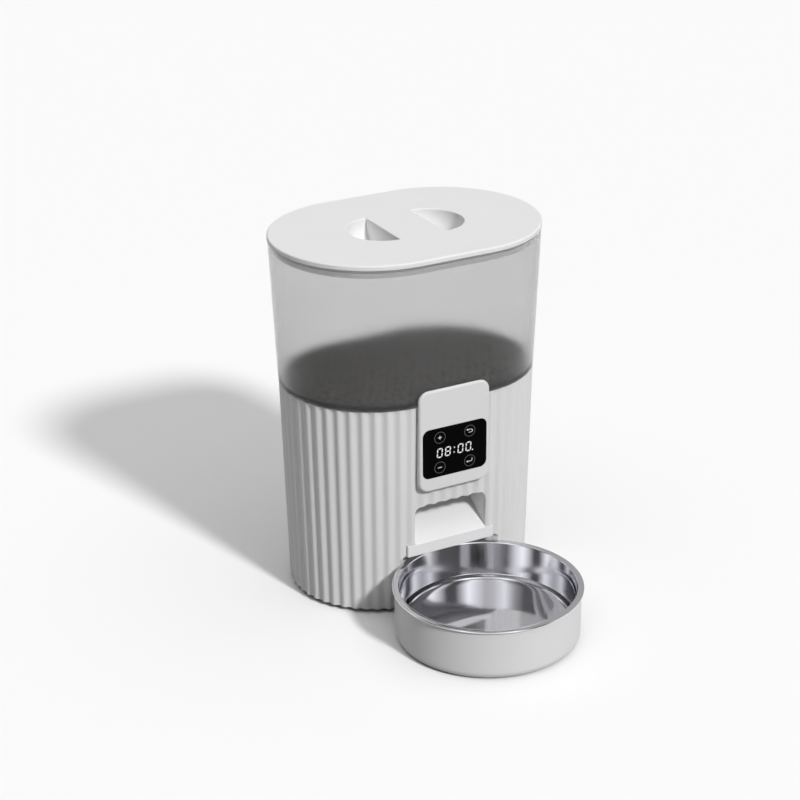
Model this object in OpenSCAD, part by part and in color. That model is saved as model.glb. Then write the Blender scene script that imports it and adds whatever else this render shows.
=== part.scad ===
// Countertop automatic feeder for dry pet food: a ribbed oval base with a timed
// paddle dispenser, a frosted lift-off hopper with a lid, and a steel bowl in front.
// X is to the feeder's right as seen from the front, -Y is the front, +Z is up.
// The origin is on the floor under the middle of the whole feeder, bowl included.

/* [Body outline] */
// Half length of the flat front and back, between the two round ends
flat_half = 32; // [26:0.5:40]
// Radius of the round ends at the base's bottom edge
foot_r = 75; // [72:0.5:92]
// How much wider the round ends are at the base's top edge than at its bottom edge
base_flare = 4.5; // [2:0.1:8]
// How much wider the round ends are at the hopper's top edge than at the base's top edge
hopper_flare = 5.1; // [2:0.1:8]
// Height of the base's top edge above the floor
seam_z = 188; // [184:0.5:230]
// Height of the hopper's wall above the base
hopper_h = 123; // [90:0.5:160]

/* [Base shell] */
// Height of the rubber feet below the base
foot_h = 4; // [2:0.1:6]
// Wall of the base between the bottom of a rib's groove and the inside
base_wall = 2.4; // [1.8:0.1:3.2]
// Depth of the grooves between the ribs
rib_depth = 1.8; // [0.6:0.1:2.4]
// Ribs around each round end
end_ribs = 24; // [12:1:30]
// Ribs along each flat side
flat_ribs = 6; // [4:1:8]
// How far below the base's top edge the deck's underside is
deck_drop = 41; // [38:0.5:48]
// Width of the ledge that carries the deck
ledge_w = 4; // [3:0.1:6]
// Thickness of the floor plate, the deck and other inner plates
plate_t = 3; // [2:0.1:4]

/* [Front panel] */
// Width of the raised control panel
panel_w = 66; // [58:0.5:72]
// Height of the raised control panel
panel_h = 90; // [82:0.5:92]
// Corner radius of the control panel
panel_corner = 9; // [4:0.5:14]
// How far the panel's face stands in front of the base's bottom edge
panel_reach = 7.8; // [7:0.1:10]
// How far the panel rises above the base's top edge
panel_rise = 13; // [6:0.5:20]
// Width of the black display window
window_w = 60; // [54:0.5:62]
// Height of the black display window
window_h = 43.8; // [40:0.1:50]
// Corner radius of the display window
window_corner = 6; // [2:0.5:9]
// How far the window's top edge is below the panel's top edge
window_drop = 34; // [28:0.5:38]
// Thickness of the display window
window_t = 1.6; // [1:0.1:2]

/* [Outlet and bowl] */
// Width of the opening that the food slides out of
outlet_w = 68; // [56:0.5:72]
// Height of the lower edge of the outlet above the floor
lip_z = 61.5; // [58:0.5:64]
// Height of the upper edge of the outlet above the floor
outlet_top = 96; // [90:0.5:100]
// Height of the underside of the recess that the bowl tucks into
dock_z = 51.5; // [50:0.5:54]
// Outer radius of the steel bowl's rim
rim_r = 78.9; // [70:0.1:80]
// Width of the steel bowl's flat rim
rim_w = 5.1; // [4:0.1:7]
// Height of the steel bowl's rim above the floor
rim_z = 45.6; // [38:0.1:46]
// Wall of the steel bowl
steel_t = 0.8; // [0.6:0.1:1.2]
// Wall of the bowl's holder
holder_wall = 1.8; // [1.5:0.1:2.5]
// How far the bowl's rim reaches in behind the base's bottom front edge
bowl_tuck = 15.9; // [10:0.1:20]

/* [Hopper and lid] */
// Wall of the hopper
hopper_wall = 2.4; // [1.8:0.1:3]
// Inner radius of the hopper's round outlet neck
neck_r = 42; // [38:0.5:43]
// Depth of the hopper's skirt inside the base's top edge
skirt_h = 10; // [6:0.5:12]
// Height of the food's surface above the base's top edge
food_level = 10; // [6:0.5:60]
// Thickness of the lid's plate
lid_t = 4; // [3:0.1:6]
// Radius of the two finger scoops in the lid
scoop_r = 30; // [24:0.5:34]
// Width of the grip bar between the two finger scoops
grip_w = 42; // [40:0.5:48]
// Depth of the lid's rim inside the hopper
plug_h = 8; // [6:0.5:12]

/* [Dispenser] */
// Distance of the dispenser's axis behind the middle of the body
rotor_back = 14; // [12:0.5:16]
// Inner radius of the dispenser's chamber
chamber_r = 48; // [46:0.5:49]
// Height of the chamber from its underside to the deck
chamber_h = 38; // [34:0.5:42]
// Number of flexible paddles
paddles = 6; // [4:1:8]
// Radius of the hole that the food drops through
drop_r = 15; // [12:0.5:16]
// Radius of the steel drive shaft
shaft_r = 3; // [2:0.1:4]
// Module of the gears
gear_m = 1; // [0.9:0.05:1.05]
// Teeth on the output gear
output_teeth = 36; // [30:6:36]
// Teeth on the idler's large wheel
wheel_teeth = 30; // [24:6:30]
// Teeth on the idler's pinion and on the motor's pinion
pinion_teeth = 12; // [12:1:14]
// Distance between the chamber's underside and the gearbox
gear_drop = 36; // [34:0.5:42]
// Height of the gearbox
gearbox_h = 23; // [22:0.5:25]
// Radius of the geared motor's can
motor_r = 12; // [10:0.5:13]

/* [Batteries] */
// Diameter of one battery cell
cell_d = 34.2; // [30:0.1:34.2]
// Length of one battery cell
cell_l = 61.5; // [50:0.5:61.5]
// Side-to-side distance between cells
cell_pitch = 35; // [34.5:0.1:35.2]

/* [Fits] */
// Gap between parts that slide past or lift off each other
slide_gap = 0.4; // [0.3:0.05:0.6]
// Gap around fixed parts that drop into a recess or a hole
seat_gap = 0.2; // [0.1:0.05:0.3]
// Radial clearance of a turning shaft
run_gap = 0.05; // [0.02:0.01:0.09]
// Play between meshing gear teeth, along the pitch circle
backlash = 0.3; // [0.2:0.05:0.4]

/* [Hidden] */
$fn = 64;

white = "#F1F1EF";
inner_white = "#E4E4E2";
dark = "#26282B";
steel = "#C9CCD0";
board_green = "#2E6B45";

// Overall places
eps = 0.01;
seam_r = foot_r + base_flare;
mouth_r = seam_r + hopper_flare;
mouth_z = seam_z + hopper_h;
top_z = mouth_z + lid_t;
lid_r = mouth_r + 0.4;
bowl_front = foot_r + rim_r - bowl_tuck;
body_y = (bowl_front + rim_r - lid_r) / 2;
bowl_y = body_y - bowl_front;
panel_front = foot_r + panel_reach;
panel_top = seam_z + panel_rise;
panel_low = panel_top - panel_h;
window_mid = panel_top - window_drop - window_h / 2;

// Radius of the ribs' crests, and of the inside of the base, at a height
function crest_r(z) = foot_r + base_flare * (z - foot_h) / (seam_z - foot_h);
function inner_r(z) = crest_r(z) - rib_depth - base_wall;
function hopper_r(z) = seam_r + hopper_flare * (z - seam_z) / hopper_h;

// Stack of the dispenser
deck_z = seam_z - deck_drop;
chamber_z = deck_z - chamber_h;
chamber_floor = chamber_z + plate_t;
chamber_wall = 2.5;
paddle_low = chamber_floor + 2;
paddle_top = deck_z - 6;
paddle_r = chamber_r - 1.5;
hub_r = 9;
drop_y = rotor_back - chamber_r + drop_r + 2;
gear_top = chamber_z - gear_drop;
gear_low = gear_top - gearbox_h;
cover_t = 3;
case_wall = 2;
post_r = 3.2;
post_x = 27;
post_front = 6;
post_rear = 52;

// Gear train: output gear, idler wheel with its pinion, motor pinion
output_pitch = gear_m * output_teeth / 2;
wheel_pitch = gear_m * wheel_teeth / 2;
pinion_pitch = gear_m * pinion_teeth / 2;
idler_x = 9;
idler_y = rotor_back + sqrt(pow(output_pitch + pinion_pitch, 2) - pow(idler_x, 2));
motor_x = -10;
motor_y = idler_y + sqrt(pow(wheel_pitch + pinion_pitch, 2) - pow(idler_x - motor_x, 2));
gear_face = 5;
output_low = gear_low + 4.2;
wheel_low = output_low + gear_face + 2;
axle_r = 1.5;

// Battery bay under the rear of the base
bay_wall = 1.5;
bay_w = 3 * cell_pitch;
bay_l = cell_l + 3;
bay_front = -0.5;
bay_top = foot_h + plate_t + cell_d + 2;
door_w = bay_w + 10;
door_l = bay_l + 5;
door_t = 1.6;
door_travel = 8;
door_margin = 2;

screw_r = 1.5;
head_r = 2.8;
head_h = 1.8;

// Moves children from the middle of the body to their place in the feeder
module at_body() {
    translate([0, body_y, 0]) children();
}

module at_rotor() {
    translate([0, body_y + rotor_back, 0]) children();
}

// Sweeps a profile of (radius, height) round the body's oval
module oval_sweep() {
    for (side = [-1, 1])
        translate([side * flat_half, 0, 0])
            rotate([0, 0, -90 * side])
                rotate_extrude(angle = 180, $fn = 128) children();
    translate([-flat_half, 0, 0]) rotate([90, 0, 90]) linear_extrude(2 * flat_half) {
        children();
        mirror([1, 0]) children();
    }
}

// Rectangle of radii and heights, for a ring that is swept or turned
module ring_profile(r0, r1, z0, z1) {
    translate([r0, z0]) square([r1 - r0, z1 - z0]);
}

// A filled oval slab between two heights, with its own radius at each
module oval_solid(z0, r0, z1, r1) {
    oval_sweep() polygon([[0, z0], [r0, z0], [r1, z1], [0, z1]]);
}

// Rounded rectangle, centred, made of exact circles and rectangles
module rounded(w, h, r) {
    square([w - 2 * r, h], center = true);
    square([w, h - 2 * r], center = true);
    for (x = [-1, 1], y = [-1, 1])
        translate([x * (w / 2 - r), y * (h / 2 - r)]) circle(r);
}

// A plate standing in the XZ plane, from y0 back to y1, centred on height z
module upright(w, h, r, z, y0, y1) {
    translate([0, y1, z]) rotate([90, 0, 0]) linear_extrude(y1 - y0) rounded(w, h, r);
}

module tube(outer, inner, z0, z1) {
    translate([0, 0, z0]) difference() {
        cylinder(r = outer, h = z1 - z0);
        translate([0, 0, -1]) cylinder(r = inner, h = z1 - z0 + 2);
    }
}

module at_corners(x, y_low, y_high) {
    for (sx = [-1, 1], y = [y_low, y_high]) translate([sx * x, y, 0]) children();
}

// A screw with its head's flat underside at z = 0 and its tip above it
module screw(length) {
    cylinder(r = screw_r, h = length, $fn = 24);
    translate([0, 0, -head_h]) difference() {
        cylinder(r = head_r, h = head_h, $fn = 32);
        for (turn = [0, 90])
            rotate([0, 0, turn]) translate([-1.6, -0.35, -1]) cube([3.2, 0.7, 1.9]);
    }
}

// ---- Ribbed outline -------------------------------------------------------

end_pitch = 180 / end_ribs;
flat_pitch = 2 * flat_half / flat_ribs;
rib_r = (pow(flat_pitch / 2, 2) + pow(rib_depth, 2)) / (2 * rib_depth);
rib_lean = atan(base_flare / (seam_z - foot_h));

// One rib: a leaning round bar whose crest follows the base's outline along +X
module rib_bar() {
    translate([foot_r, 0, foot_h]) rotate([0, rib_lean, 0])
        translate([-rib_r, 0, -10]) cylinder(r = rib_r, h = seam_z - foot_h + 20);
}

module ribbed_solid(z0, z1) {
    core = rib_depth + 0.6;
    intersection() {
        union() {
            oval_solid(z0, crest_r(z0) - core, z1, crest_r(z1) - core);
            for (side = [0, 1], i = [0 : end_ribs - 1])
                rotate([0, 0, 180 * side]) translate([flat_half, 0, 0])
                    rotate([0, 0, (i + 0.5) * end_pitch - 90]) rib_bar();
            for (side = [0, 1], i = [0 : flat_ribs - 1])
                rotate([0, 0, 180 * side]) translate([(i + 0.5) * flat_pitch - flat_half, 0, 0])
                    rotate([0, 0, 90]) rib_bar();
        }
        translate([-200, -200, z0]) cube([400, 400, z1 - z0]);
    }
}

// ---- Shared cuts ----------------------------------------------------------

// Space that the bowl tucks into, grown by g
dock_r = rim_r + 1.5;
dock_half = sqrt(pow(dock_r, 2) - pow(bowl_front - crest_r(dock_z), 2));
dock_corner = 10;

module dock_space(g) {
    intersection() {
        translate([0, -bowl_front, -1]) cylinder(r = dock_r + g, h = dock_z + g + 1);
        upright(2 * dock_half + 2 * g, 4 * dock_z, dock_corner + g, g - dock_z,
                -bowl_front - dock_r - 5, 0);
    }
}

// Side view of the passage that the food slides down, as (y, z) points
chute_wall = 2;
chute_rear = drop_y + drop_r + 2;
chute_front = -(crest_r(lip_z) + 0.2);
chute_high = chamber_z - 4;
chute_slope = (chute_high - lip_z) / (chute_rear - chute_front);

function slide_z(y) = lip_z + chute_slope * (y - chute_front);

module side_profile(points, half) {
    translate([-half, 0, 0]) rotate([90, 0, 90]) linear_extrude(2 * half) polygon(points);
}

module chute_passage() {
    side_profile([
        [chute_front - 20, lip_z], [chute_front, lip_z], [chute_rear, chute_high],
        [chute_rear, chamber_z + 1], [drop_y - drop_r - 3, chamber_z + 1],
        [drop_y - drop_r - 3, chamber_z - 3], [-inner_r(outlet_top) + 2, outlet_top],
        [chute_front - 20, outlet_top]
    ], outlet_w / 2);
}

// ---- Base -----------------------------------------------------------------

screw_angle = 40;
post_reach = 9;

// Places of the four posts that the floor plate is screwed to
module at_shell_posts() {
    for (sx = [-1, 1], sy = [-1, 1])
        translate([
            sx * (flat_half + (foot_r - post_reach) * cos(screw_angle)),
            sy * (foot_r - post_reach) * sin(screw_angle), 0
        ]) children();
}

box_half = 31;
box_low = panel_low + 2.5;
box_high = window_mid + window_h / 2 + 6.5;
box_mid = (box_low + box_high) / 2;
box_w = 64;
jack_x = box_w / 2 + 8;
jack_z = 58;
jack_r = 4.5;
lip_half = 41;

module base_shell() {
    color(white) at_body() {
        difference() {
            ribbed_solid(foot_h, seam_z);
            oval_sweep() polygon([
                [0, foot_h - 1], [inner_r(foot_h - 1), foot_h - 1],
                [inner_r(deck_z - ledge_w - 3), deck_z - ledge_w - 3],
                [inner_r(deck_z) - ledge_w, deck_z - 3],
                [inner_r(deck_z) - ledge_w, deck_z], [inner_r(deck_z), deck_z],
                [inner_r(seam_z + 1), seam_z + 1], [0, seam_z + 1]
            ]);
            dock_space(0);
            // Outlet, with round top corners, and the smooth lip below it
            upright(outlet_w, 2 * (outlet_top - lip_z), 8, lip_z, chute_front - 20, -foot_r / 2);
            translate([-lip_half - seat_gap, chute_front - 20, 0])
                cube([2 * (lip_half + seat_gap), foot_r / 2 + 20, lip_z + seat_gap]);
            // Opening behind the control panel
            upright(2 * (box_half + seat_gap), box_high - box_low + 2 * seat_gap, 3,
                    box_mid, -panel_front - 5, -foot_r / 2);
            translate([jack_x, foot_r / 2, jack_z]) rotate([-90, 0, 0])
                cylinder(r = jack_r + seat_gap, h = foot_r);
        }
        at_shell_posts() tube(5, screw_r + run_gap, foot_h + plate_t, foot_h + 34);
    }
}

foot_pad_r = 7;
foot_inset = 20;
foot_angles = [30, -45];

module at_feet() {
    for (sx = [-1, 1], angle = foot_angles)
        translate([
            sx * (flat_half + (foot_r - foot_inset) * cos(angle)),
            (foot_r - foot_inset) * sin(angle), 0
        ]) children();
}

// The battery door's outline, grown by g and longer by the door's travel. Its rear corners
// follow the inside of the base.
module door_slab(g, travel, z0, z1) {
    r = inner_r(foot_h) - door_margin + g;
    intersection() {
        translate([-door_w / 2 - g, bay_front - door_margin - travel - g, z0])
            cube([door_w + 2 * g, door_l + travel + 2 * g, z1 - z0]);
        oval_solid(z0, r, z1, r);
    }
}

module bottom_cover() {
    z1 = foot_h + plate_t;
    color(inner_white) at_body() difference() {
        oval_solid(foot_h, inner_r(foot_h) - seat_gap, z1, inner_r(foot_h) - seat_gap);
        dock_space(chute_wall + 2 * seat_gap);
        // Battery opening and the door's recess, which is longer by the door's travel
        translate([-bay_w / 2, bay_front, 0]) cube([bay_w, bay_l, z1 + 1]);
        door_slab(slide_gap, door_travel, 0, foot_h + door_t + seat_gap);
        at_shell_posts() {
            cylinder(r = screw_r + seat_gap, h = z1 + 1);
            cylinder(r = head_r + seat_gap, h = foot_h + head_h);
        }
        at_feet() cylinder(r = foot_pad_r + seat_gap, h = foot_h + 1);
    }
}

module rubber_feet() {
    color(dark) at_body() at_feet() {
        cylinder(r = foot_pad_r, h = foot_h + 1);
    }
}

module bottom_screws() {
    color(steel) at_body() at_shell_posts() translate([0, 0, foot_h + head_h]) screw(12);
}

module bowl_dock() {
    color(inner_white) at_body() difference() {
        intersection() {
            dock_space(chute_wall);
            oval_solid(foot_h, inner_r(foot_h) - seat_gap, dock_z + 5, inner_r(dock_z + 5) - seat_gap);
        }
        dock_space(0);
    }
}

module chute() {
    rear = chute_rear + chute_wall;
    half = outlet_w / 2 + chute_wall;
    root_l = 8;
    root_z = dock_z + chute_wall + seat_gap;
    color(white) at_body() {
        difference() {
            intersection() {
                side_profile([
                    [chute_front + 4, slide_z(chute_front + 4) - chute_wall - 0.6],
                    [rear, slide_z(rear) - chute_wall - 0.6], [rear, chamber_z - eps],
                    [drop_y - drop_r - 5, chamber_z - eps],
                    [-inner_r(outlet_top) + 1, outlet_top + chute_wall],
                    [chute_front, outlet_top + chute_wall], [chute_front, slide_z(chute_front)]
                ], half);
                oval_solid(dock_z, inner_r(dock_z) - seat_gap, chamber_z,
                           inner_r(chamber_z) - seat_gap);
            }
            chute_passage();
        }
        // Smooth lip under the outlet, flush with the ribs' crests, and its root
        difference() {
            union() {
                translate([-lip_half, chute_front, dock_z + eps])
                    cube([2 * lip_half, 3, lip_z - dock_z - eps]);
                translate([seat_gap - outlet_w / 2, chute_front, root_z])
                    cube([outlet_w - 2 * seat_gap, root_l, slide_z(chute_front + root_l) - root_z]);
            }
            chute_passage();
        }
    }
}

ear_r = 5;
ear_at = chamber_r + chamber_wall + 4;

module rotor_chamber() {
    color(inner_white) at_rotor() difference() {
        union() {
            translate([0, 0, chamber_z]) cylinder(r = chamber_r + chamber_wall, h = chamber_h);
            for (turn = [45 : 90 : 315]) rotate([0, 0, turn]) {
                translate([ear_at, 0, deck_z - 4]) cylinder(r = ear_r, h = 4);
                translate([chamber_r, -ear_r, deck_z - 4]) cube([ear_at - chamber_r, 2 * ear_r, 4]);
            }
            translate([0, -rotor_back, 0]) at_corners(post_x, post_front, post_rear)
                translate([0, 0, gear_top]) cylinder(r = post_r, h = chamber_z - gear_top + 1);
        }
        translate([0, 0, chamber_floor]) cylinder(r = chamber_r, h = chamber_h);
        translate([0, 0, chamber_z - 1]) cylinder(r = shaft_r + 2, h = plate_t + 2);
        translate([0, drop_y - rotor_back, chamber_z - 1]) cylinder(r = drop_r, h = plate_t + 2);
        for (turn = [45 : 90 : 315]) rotate([0, 0, turn])
            translate([ear_at, 0, deck_z - 5]) cylinder(r = screw_r + seat_gap, h = 6);
        translate([0, -rotor_back, 0]) at_corners(post_x, post_front, post_rear)
            translate([0, 0, gear_top - 1]) cylinder(r = screw_r + run_gap, h = 11);
    }
}

module chamber_screws() {
    color(steel) at_rotor() for (turn = [45 : 90 : 315])
        rotate([0, 0, turn]) translate([ear_at, 0, deck_z - 4]) screw(6.5);
}

// Roof over the drop hole, so that food reaches the hole only through the paddles
module drop_shield() {
    half_angle = 75;
    color(inner_white) at_rotor() rotate([0, 0, -90 - half_angle])
        rotate_extrude(angle = 2 * half_angle)
            ring_profile(12, chamber_r - seat_gap, deck_z - 2.6, deck_z);
}

module deck() {
    r = inner_r(deck_z) - seat_gap;
    color(inner_white) at_body() difference() {
        union() {
            oval_solid(deck_z, r, deck_z + plate_t, r);
            // Collar that guides the hopper's neck, just lower than the hopper's funnel
            translate([0, rotor_back, deck_z])
                cylinder(r = neck_r + hopper_wall + slide_gap + 2, h = funnel_low - slide_gap - deck_z);
        }
        // Notch for the control panel's box
        translate([-box_half - seat_gap, -2 * foot_r, deck_z - 1])
            cube([2 * (box_half + seat_gap), 2 * foot_r + box_rear + seat_gap, plate_t + 2]);
        translate([0, rotor_back, deck_z - 1]) cylinder(r = neck_r, h = plate_t + 2);
        translate([0, rotor_back, deck_z + plate_t])
            cylinder(r = neck_r + hopper_wall + slide_gap, h = 10);
        translate([0, rotor_back, 0]) for (turn = [45 : 90 : 315]) rotate([0, 0, turn])
            translate([ear_at, 0, deck_z - 1]) cylinder(r = screw_r + run_gap, h = plate_t + 2);
    }
}

// ---- Control panel --------------------------------------------------------

face_t = 2.4;
panel_gap = 0.5;
shelf_y = -panel_front + window_t + 0.1;
board_y = -panel_front + 8.8;
board_t = 1.6;
board_w = 57;
board_h = 42;
box_rear = -foot_r + 3.5;
key_x = 14.7;
key_z = 13.5;

module at_keys() {
    for (sx = [-1, 1], sz = [-1, 1])
        translate([sx * key_x, 0, window_mid + sz * key_z - 0.15]) children();
}

module at_panel_posts() {
    for (sx = [-1, 1], sz = [-1, 1])
        translate([sx * (board_w / 2 - 3), 0, window_mid + sz * (board_h / 2 - 3)])
            rotate([90, 0, 0]) children();
}

module front_panel() {
    mid = panel_top - panel_h / 2;
    inset = 2;
    color(white) at_body() difference() {
        union() {
            difference() {
                upright(panel_w, panel_h, panel_corner, mid, -panel_front, -foot_r);
                // Behind the face the panel is hollow, and clears the ribs and the hopper
                upright(panel_w - 2 * inset, seam_z - 12 - panel_low - inset, panel_corner - inset,
                        (panel_low + inset + seam_z - 12) / 2, -panel_front + face_t, 0);
                oval_sweep() polygon([
                    [0, 0], [crest_r(0) + panel_gap, 0], [seam_r + panel_gap, seam_z],
                    [hopper_r(mouth_z) + panel_gap, mouth_z], [0, mouth_z]
                ]);
            }
            // Box that reaches in through the base's wall and holds the electronics
            difference() {
                upright(2 * box_half, box_high - box_low, 3, box_mid,
                        -panel_front + face_t - 0.5, box_rear);
                upright(2 * box_half - 4, box_high - box_low - 4, 2, box_mid,
                        -panel_front + face_t, box_rear + 1);
            }
            for (sx = [-1, 1], z = [box_low + 12, box_high - 12])
                translate([sx * (box_half + 0.3) - 1, -inner_r(z) + 0.8, z - 4])
                    cube([2, 1.6, 8]);
            at_panel_posts() translate([0, 0, -board_y])
                cylinder(r = 2.6, h = panel_front - face_t + board_y + 0.2);
        }
        upright(window_w + 2 * seat_gap, window_h + 2 * seat_gap, window_corner + seat_gap,
                window_mid, -panel_front - 1, shelf_y);
        upright(window_w - 12, window_h - 6, 3, window_mid, -panel_front - 1,
                -panel_front + face_t + 1);
        at_panel_posts() translate([0, 0, -board_y - 1]) cylinder(r = 0.9, h = 6);
    }
}

module display_window() {
    color("#0A0B0D") at_body() upright(window_w, window_h, window_corner, window_mid,
        -panel_front, -panel_front + window_t);
}

led_w = 40;
led_h = 12.8;

module led_display() {
    color("#DADCDD") at_body() translate([-led_w / 2, shelf_y + 0.1, window_mid - led_h / 2 - 0.5])
        cube([led_w, board_y - shelf_y - 0.1, led_h]);
}

module touch_springs() {
    color(steel) at_body() at_keys() translate([0, shelf_y + 0.1, 0]) rotate([-90, 0, 0])
        difference() {
            cylinder(r = 4, h = board_y - shelf_y - 0.1, $fn = 32);
            translate([0, 0, 0.6]) cylinder(r = 3.4, h = 20, $fn = 32);
        }
}

module display_board() {
    color(board_green) at_body() difference() {
        upright(board_w, board_h, 1, window_mid, board_y, board_y + board_t);
        at_panel_posts() translate([0, 0, -board_y - board_t - 1]) cylinder(r = 1.1, h = board_t + 2);
    }
}

module panel_screws() {
    color(steel) at_body() at_panel_posts() translate([0, 0, -board_y - board_t]) {
        cylinder(r = 0.85, h = 5, $fn = 24);
        translate([0, 0, -1.2]) cylinder(r = 1.8, h = 1.2, $fn = 32);
    }
}

// ---- Electronics in the base ------------------------------------------------

main_x = flat_half + 43;
main_w = 34;
main_l = 56;
main_z = foot_h + plate_t + 5;

module at_board_corners() {
    for (sx = [-1, 1], sy = [-1, 1])
        translate([-main_x + sx * (main_w / 2 - 3), sy * (main_l / 2 - 3), 0]) children();
}

module main_board() {
    color(board_green) at_body() difference() {
        union() {
            translate([-main_x - main_w / 2, -main_l / 2, main_z]) cube([main_w, main_l, board_t]);
            at_board_corners() translate([0, 0, foot_h + plate_t]) cylinder(r = 2.5, h = 5.5);
        }
        at_board_corners() translate([0, 0, foot_h]) cylinder(r = 0.9, h = 20);
    }
}

module board_parts() {
    top = main_z + board_t;
    color("#33363A") at_body() translate([-main_x, 0, top]) {
        translate([-5, -5, 0]) cube([10, 10, 1.6]);
        translate([6, 12, 0]) cylinder(r = 4, h = 10);
        translate([-7, 16, 0]) cylinder(r = 5.5, h = 7.5);
        translate([6, -18, 0]) cylinder(r = 3, h = 7);
        for (y = [-10, 0, 8]) translate([11, y - 3, 0]) cube([5, 6, 5]);
        translate([-10, -20, 0]) cube([8, 9, 3]);
    }
}

module dc_jack() {
    nose = crest_r(jack_z) - rib_depth;
    color(dark) at_body() translate([jack_x, 0, jack_z]) difference() {
        union() {
            translate([0, nose - 8, 0]) rotate([-90, 0, 0]) cylinder(r = jack_r, h = 8);
            translate([-4.5, nose - 18, -5.5]) cube([9, 12, 11]);
        }
        translate([0, nose - 10, 0]) rotate([-90, 0, 0]) difference() {
            cylinder(r = 2.75, h = 12);
            cylinder(r = 1, h = 9.5);
        }
    }
}

module battery_box() {
    z0 = foot_h + plate_t;
    color(dark) at_body() difference() {
        translate([-bay_w / 2 - bay_wall, bay_front - bay_wall, z0])
            cube([bay_w + 2 * bay_wall, bay_l + 2 * bay_wall, bay_top - z0 + bay_wall]);
        translate([-bay_w / 2, bay_front, z0 - 1]) cube([bay_w, bay_l, bay_top - z0 + 1]);
    }
}

module battery_contacts() {
    color(steel) at_body() for (i = [-1 : 1]) translate([i * cell_pitch, 0, bay_top - cell_d / 2 - 1]) {
        // Spring at the front, flat plate at the rear
        for (k = [0 : 2]) translate([0, bay_front + 0.5 * k + 0.05, 0]) rotate([-90, 0, 0])
            cylinder(r = 9 - 2 * k, h = 0.5, $fn = 32);
        translate([-7, bay_front + bay_l - 0.6, -7]) cube([14, 0.55, 14]);
    }
}

module battery_cells() {
    color("#4A4F57") at_body() for (i = [-1 : 1])
        translate([i * cell_pitch, bay_front + 1.7, bay_top - cell_d / 2 - 1]) rotate([-90, 0, 0]) {
            cylinder(r = cell_d / 2, h = cell_l - 1.5);
            translate([0, 0, cell_l - 1.5]) cylinder(r = 5, h = 1.5);
        }
}

module battery_door() {
    color(inner_white) at_body() difference() {
        door_slab(0, 0, foot_h, foot_h + door_t);
        // Shallow grooves for a thumb
        for (k = [0 : 3]) translate([-12, bay_front + 4 + 3 * k, foot_h - 1])
            cube([24, 1.5, 1.6]);
    }
}

// ---- Gearbox and motor ------------------------------------------------------

box_front = -8;
box_back = motor_y + pinion_pitch + 8;

module gearbox_plan(g) {
    translate([0, (box_front + box_back) / 2])
        rounded(box_w + 2 * g, box_back - box_front + 2 * g, 5 + g);
}

module gearbox_case() {
    color("#5B6067") at_body() difference() {
        union() {
            difference() {
                translate([0, 0, gear_low])
                    linear_extrude(gearbox_h - cover_t) gearbox_plan(0);
                translate([0, 0, gear_low + case_wall])
                    linear_extrude(gearbox_h) gearbox_plan(-case_wall);
            }
            translate([0, rotor_back, gear_low]) cylinder(r = 6, h = output_low - gear_low - 0.3);
            translate([idler_x, idler_y, gear_low]) cylinder(r = 4, h = output_low - gear_low - 0.3);
            at_corners(post_x, post_front, post_rear)
                translate([0, 0, gear_low]) cylinder(r = post_r, h = gearbox_h - cover_t);
        }
        translate([0, rotor_back, gear_low + 1]) cylinder(r = shaft_r + run_gap, h = 10);
        translate([idler_x, idler_y, gear_low + 1]) cylinder(r = axle_r, h = 10);
        at_corners(post_x, post_front, post_rear)
            translate([0, 0, gear_low - 1]) cylinder(r = screw_r + seat_gap, h = gearbox_h + 2);
    }
}

module gearbox_cover() {
    color("#5B6067") at_body() difference() {
        translate([0, 0, gear_top - cover_t]) linear_extrude(cover_t) gearbox_plan(0);
        translate([0, rotor_back, gear_top - cover_t - 1]) cylinder(r = shaft_r + 2, h = cover_t + 2);
        translate([idler_x, idler_y, gear_top - cover_t - 1]) cylinder(r = axle_r, h = cover_t);
        translate([motor_x, motor_y, gear_top - cover_t - 1]) {
            cylinder(r = 3.6, h = cover_t + 2);
            for (sx = [-1, 1]) translate([8 * sx, 0, 0]) cylinder(r = screw_r + seat_gap, h = cover_t + 2);
        }
        at_corners(post_x, post_front, post_rear)
            translate([0, 0, gear_top - cover_t - 1]) cylinder(r = screw_r + seat_gap, h = cover_t + 2);
    }
}

module gearbox_screws() {
    color(steel) at_body() at_corners(post_x, post_front, post_rear)
        translate([0, 0, gear_low]) screw(gearbox_h + 8);
}

module idler_pin() {
    color(steel) at_body() translate([idler_x, idler_y, gear_low + 1])
        cylinder(r = axle_r, h = gearbox_h - 2);
}

module output_bush() {
    color("#B58B3C") at_rotor() tube(shaft_r + 2, shaft_r + run_gap, gear_top - cover_t, gear_top + 2);
}

module shaft_seal() {
    color(dark) at_rotor() tube(shaft_r + 2, shaft_r + run_gap, chamber_z, chamber_floor);
}

module geared_motor() {
    color("#A9ADB2") at_body() translate([motor_x, motor_y, gear_top]) difference() {
        union() {
            cylinder(r = motor_r, h = gear_drop - 10);
            translate([0, 0, gear_drop - 10]) cylinder(r = 4, h = 3);
            for (sx = [-1, 1]) translate([5 * sx - 1, -0.3, gear_drop - 10]) cube([2, 0.6, 5]);
        }
        translate([0, 0, -1]) cylinder(r = axle_r + run_gap, h = 7);
        for (sx = [-1, 1]) translate([8 * sx, 0, -1]) cylinder(r = screw_r + run_gap, h = 6);
    }
}

module motor_screws() {
    color(steel) at_body() translate([motor_x, motor_y, gear_top - cover_t])
        for (sx = [-1, 1]) translate([8 * sx, 0, 0]) screw(cover_t + 4);
}

// Involute gear outline. A tooth's flanks follow the involute of the base circle.
pressure = 25;
add_k = 0.9;
ded_k = 1.2;

function inv_angle(rb, r) = sqrt(pow(r / rb, 2) - 1) * 180 / PI - acos(rb / r);

// Half angle of a tooth of n teeth at radius r
function half_tooth(n, r) =
    let (rp = gear_m * n / 2, rb = rp * cos(pressure))
        90 / n - backlash / 2 / rp / 2 * 180 / PI + inv_angle(rb, rp) - inv_angle(rb, max(r, rb));

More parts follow.
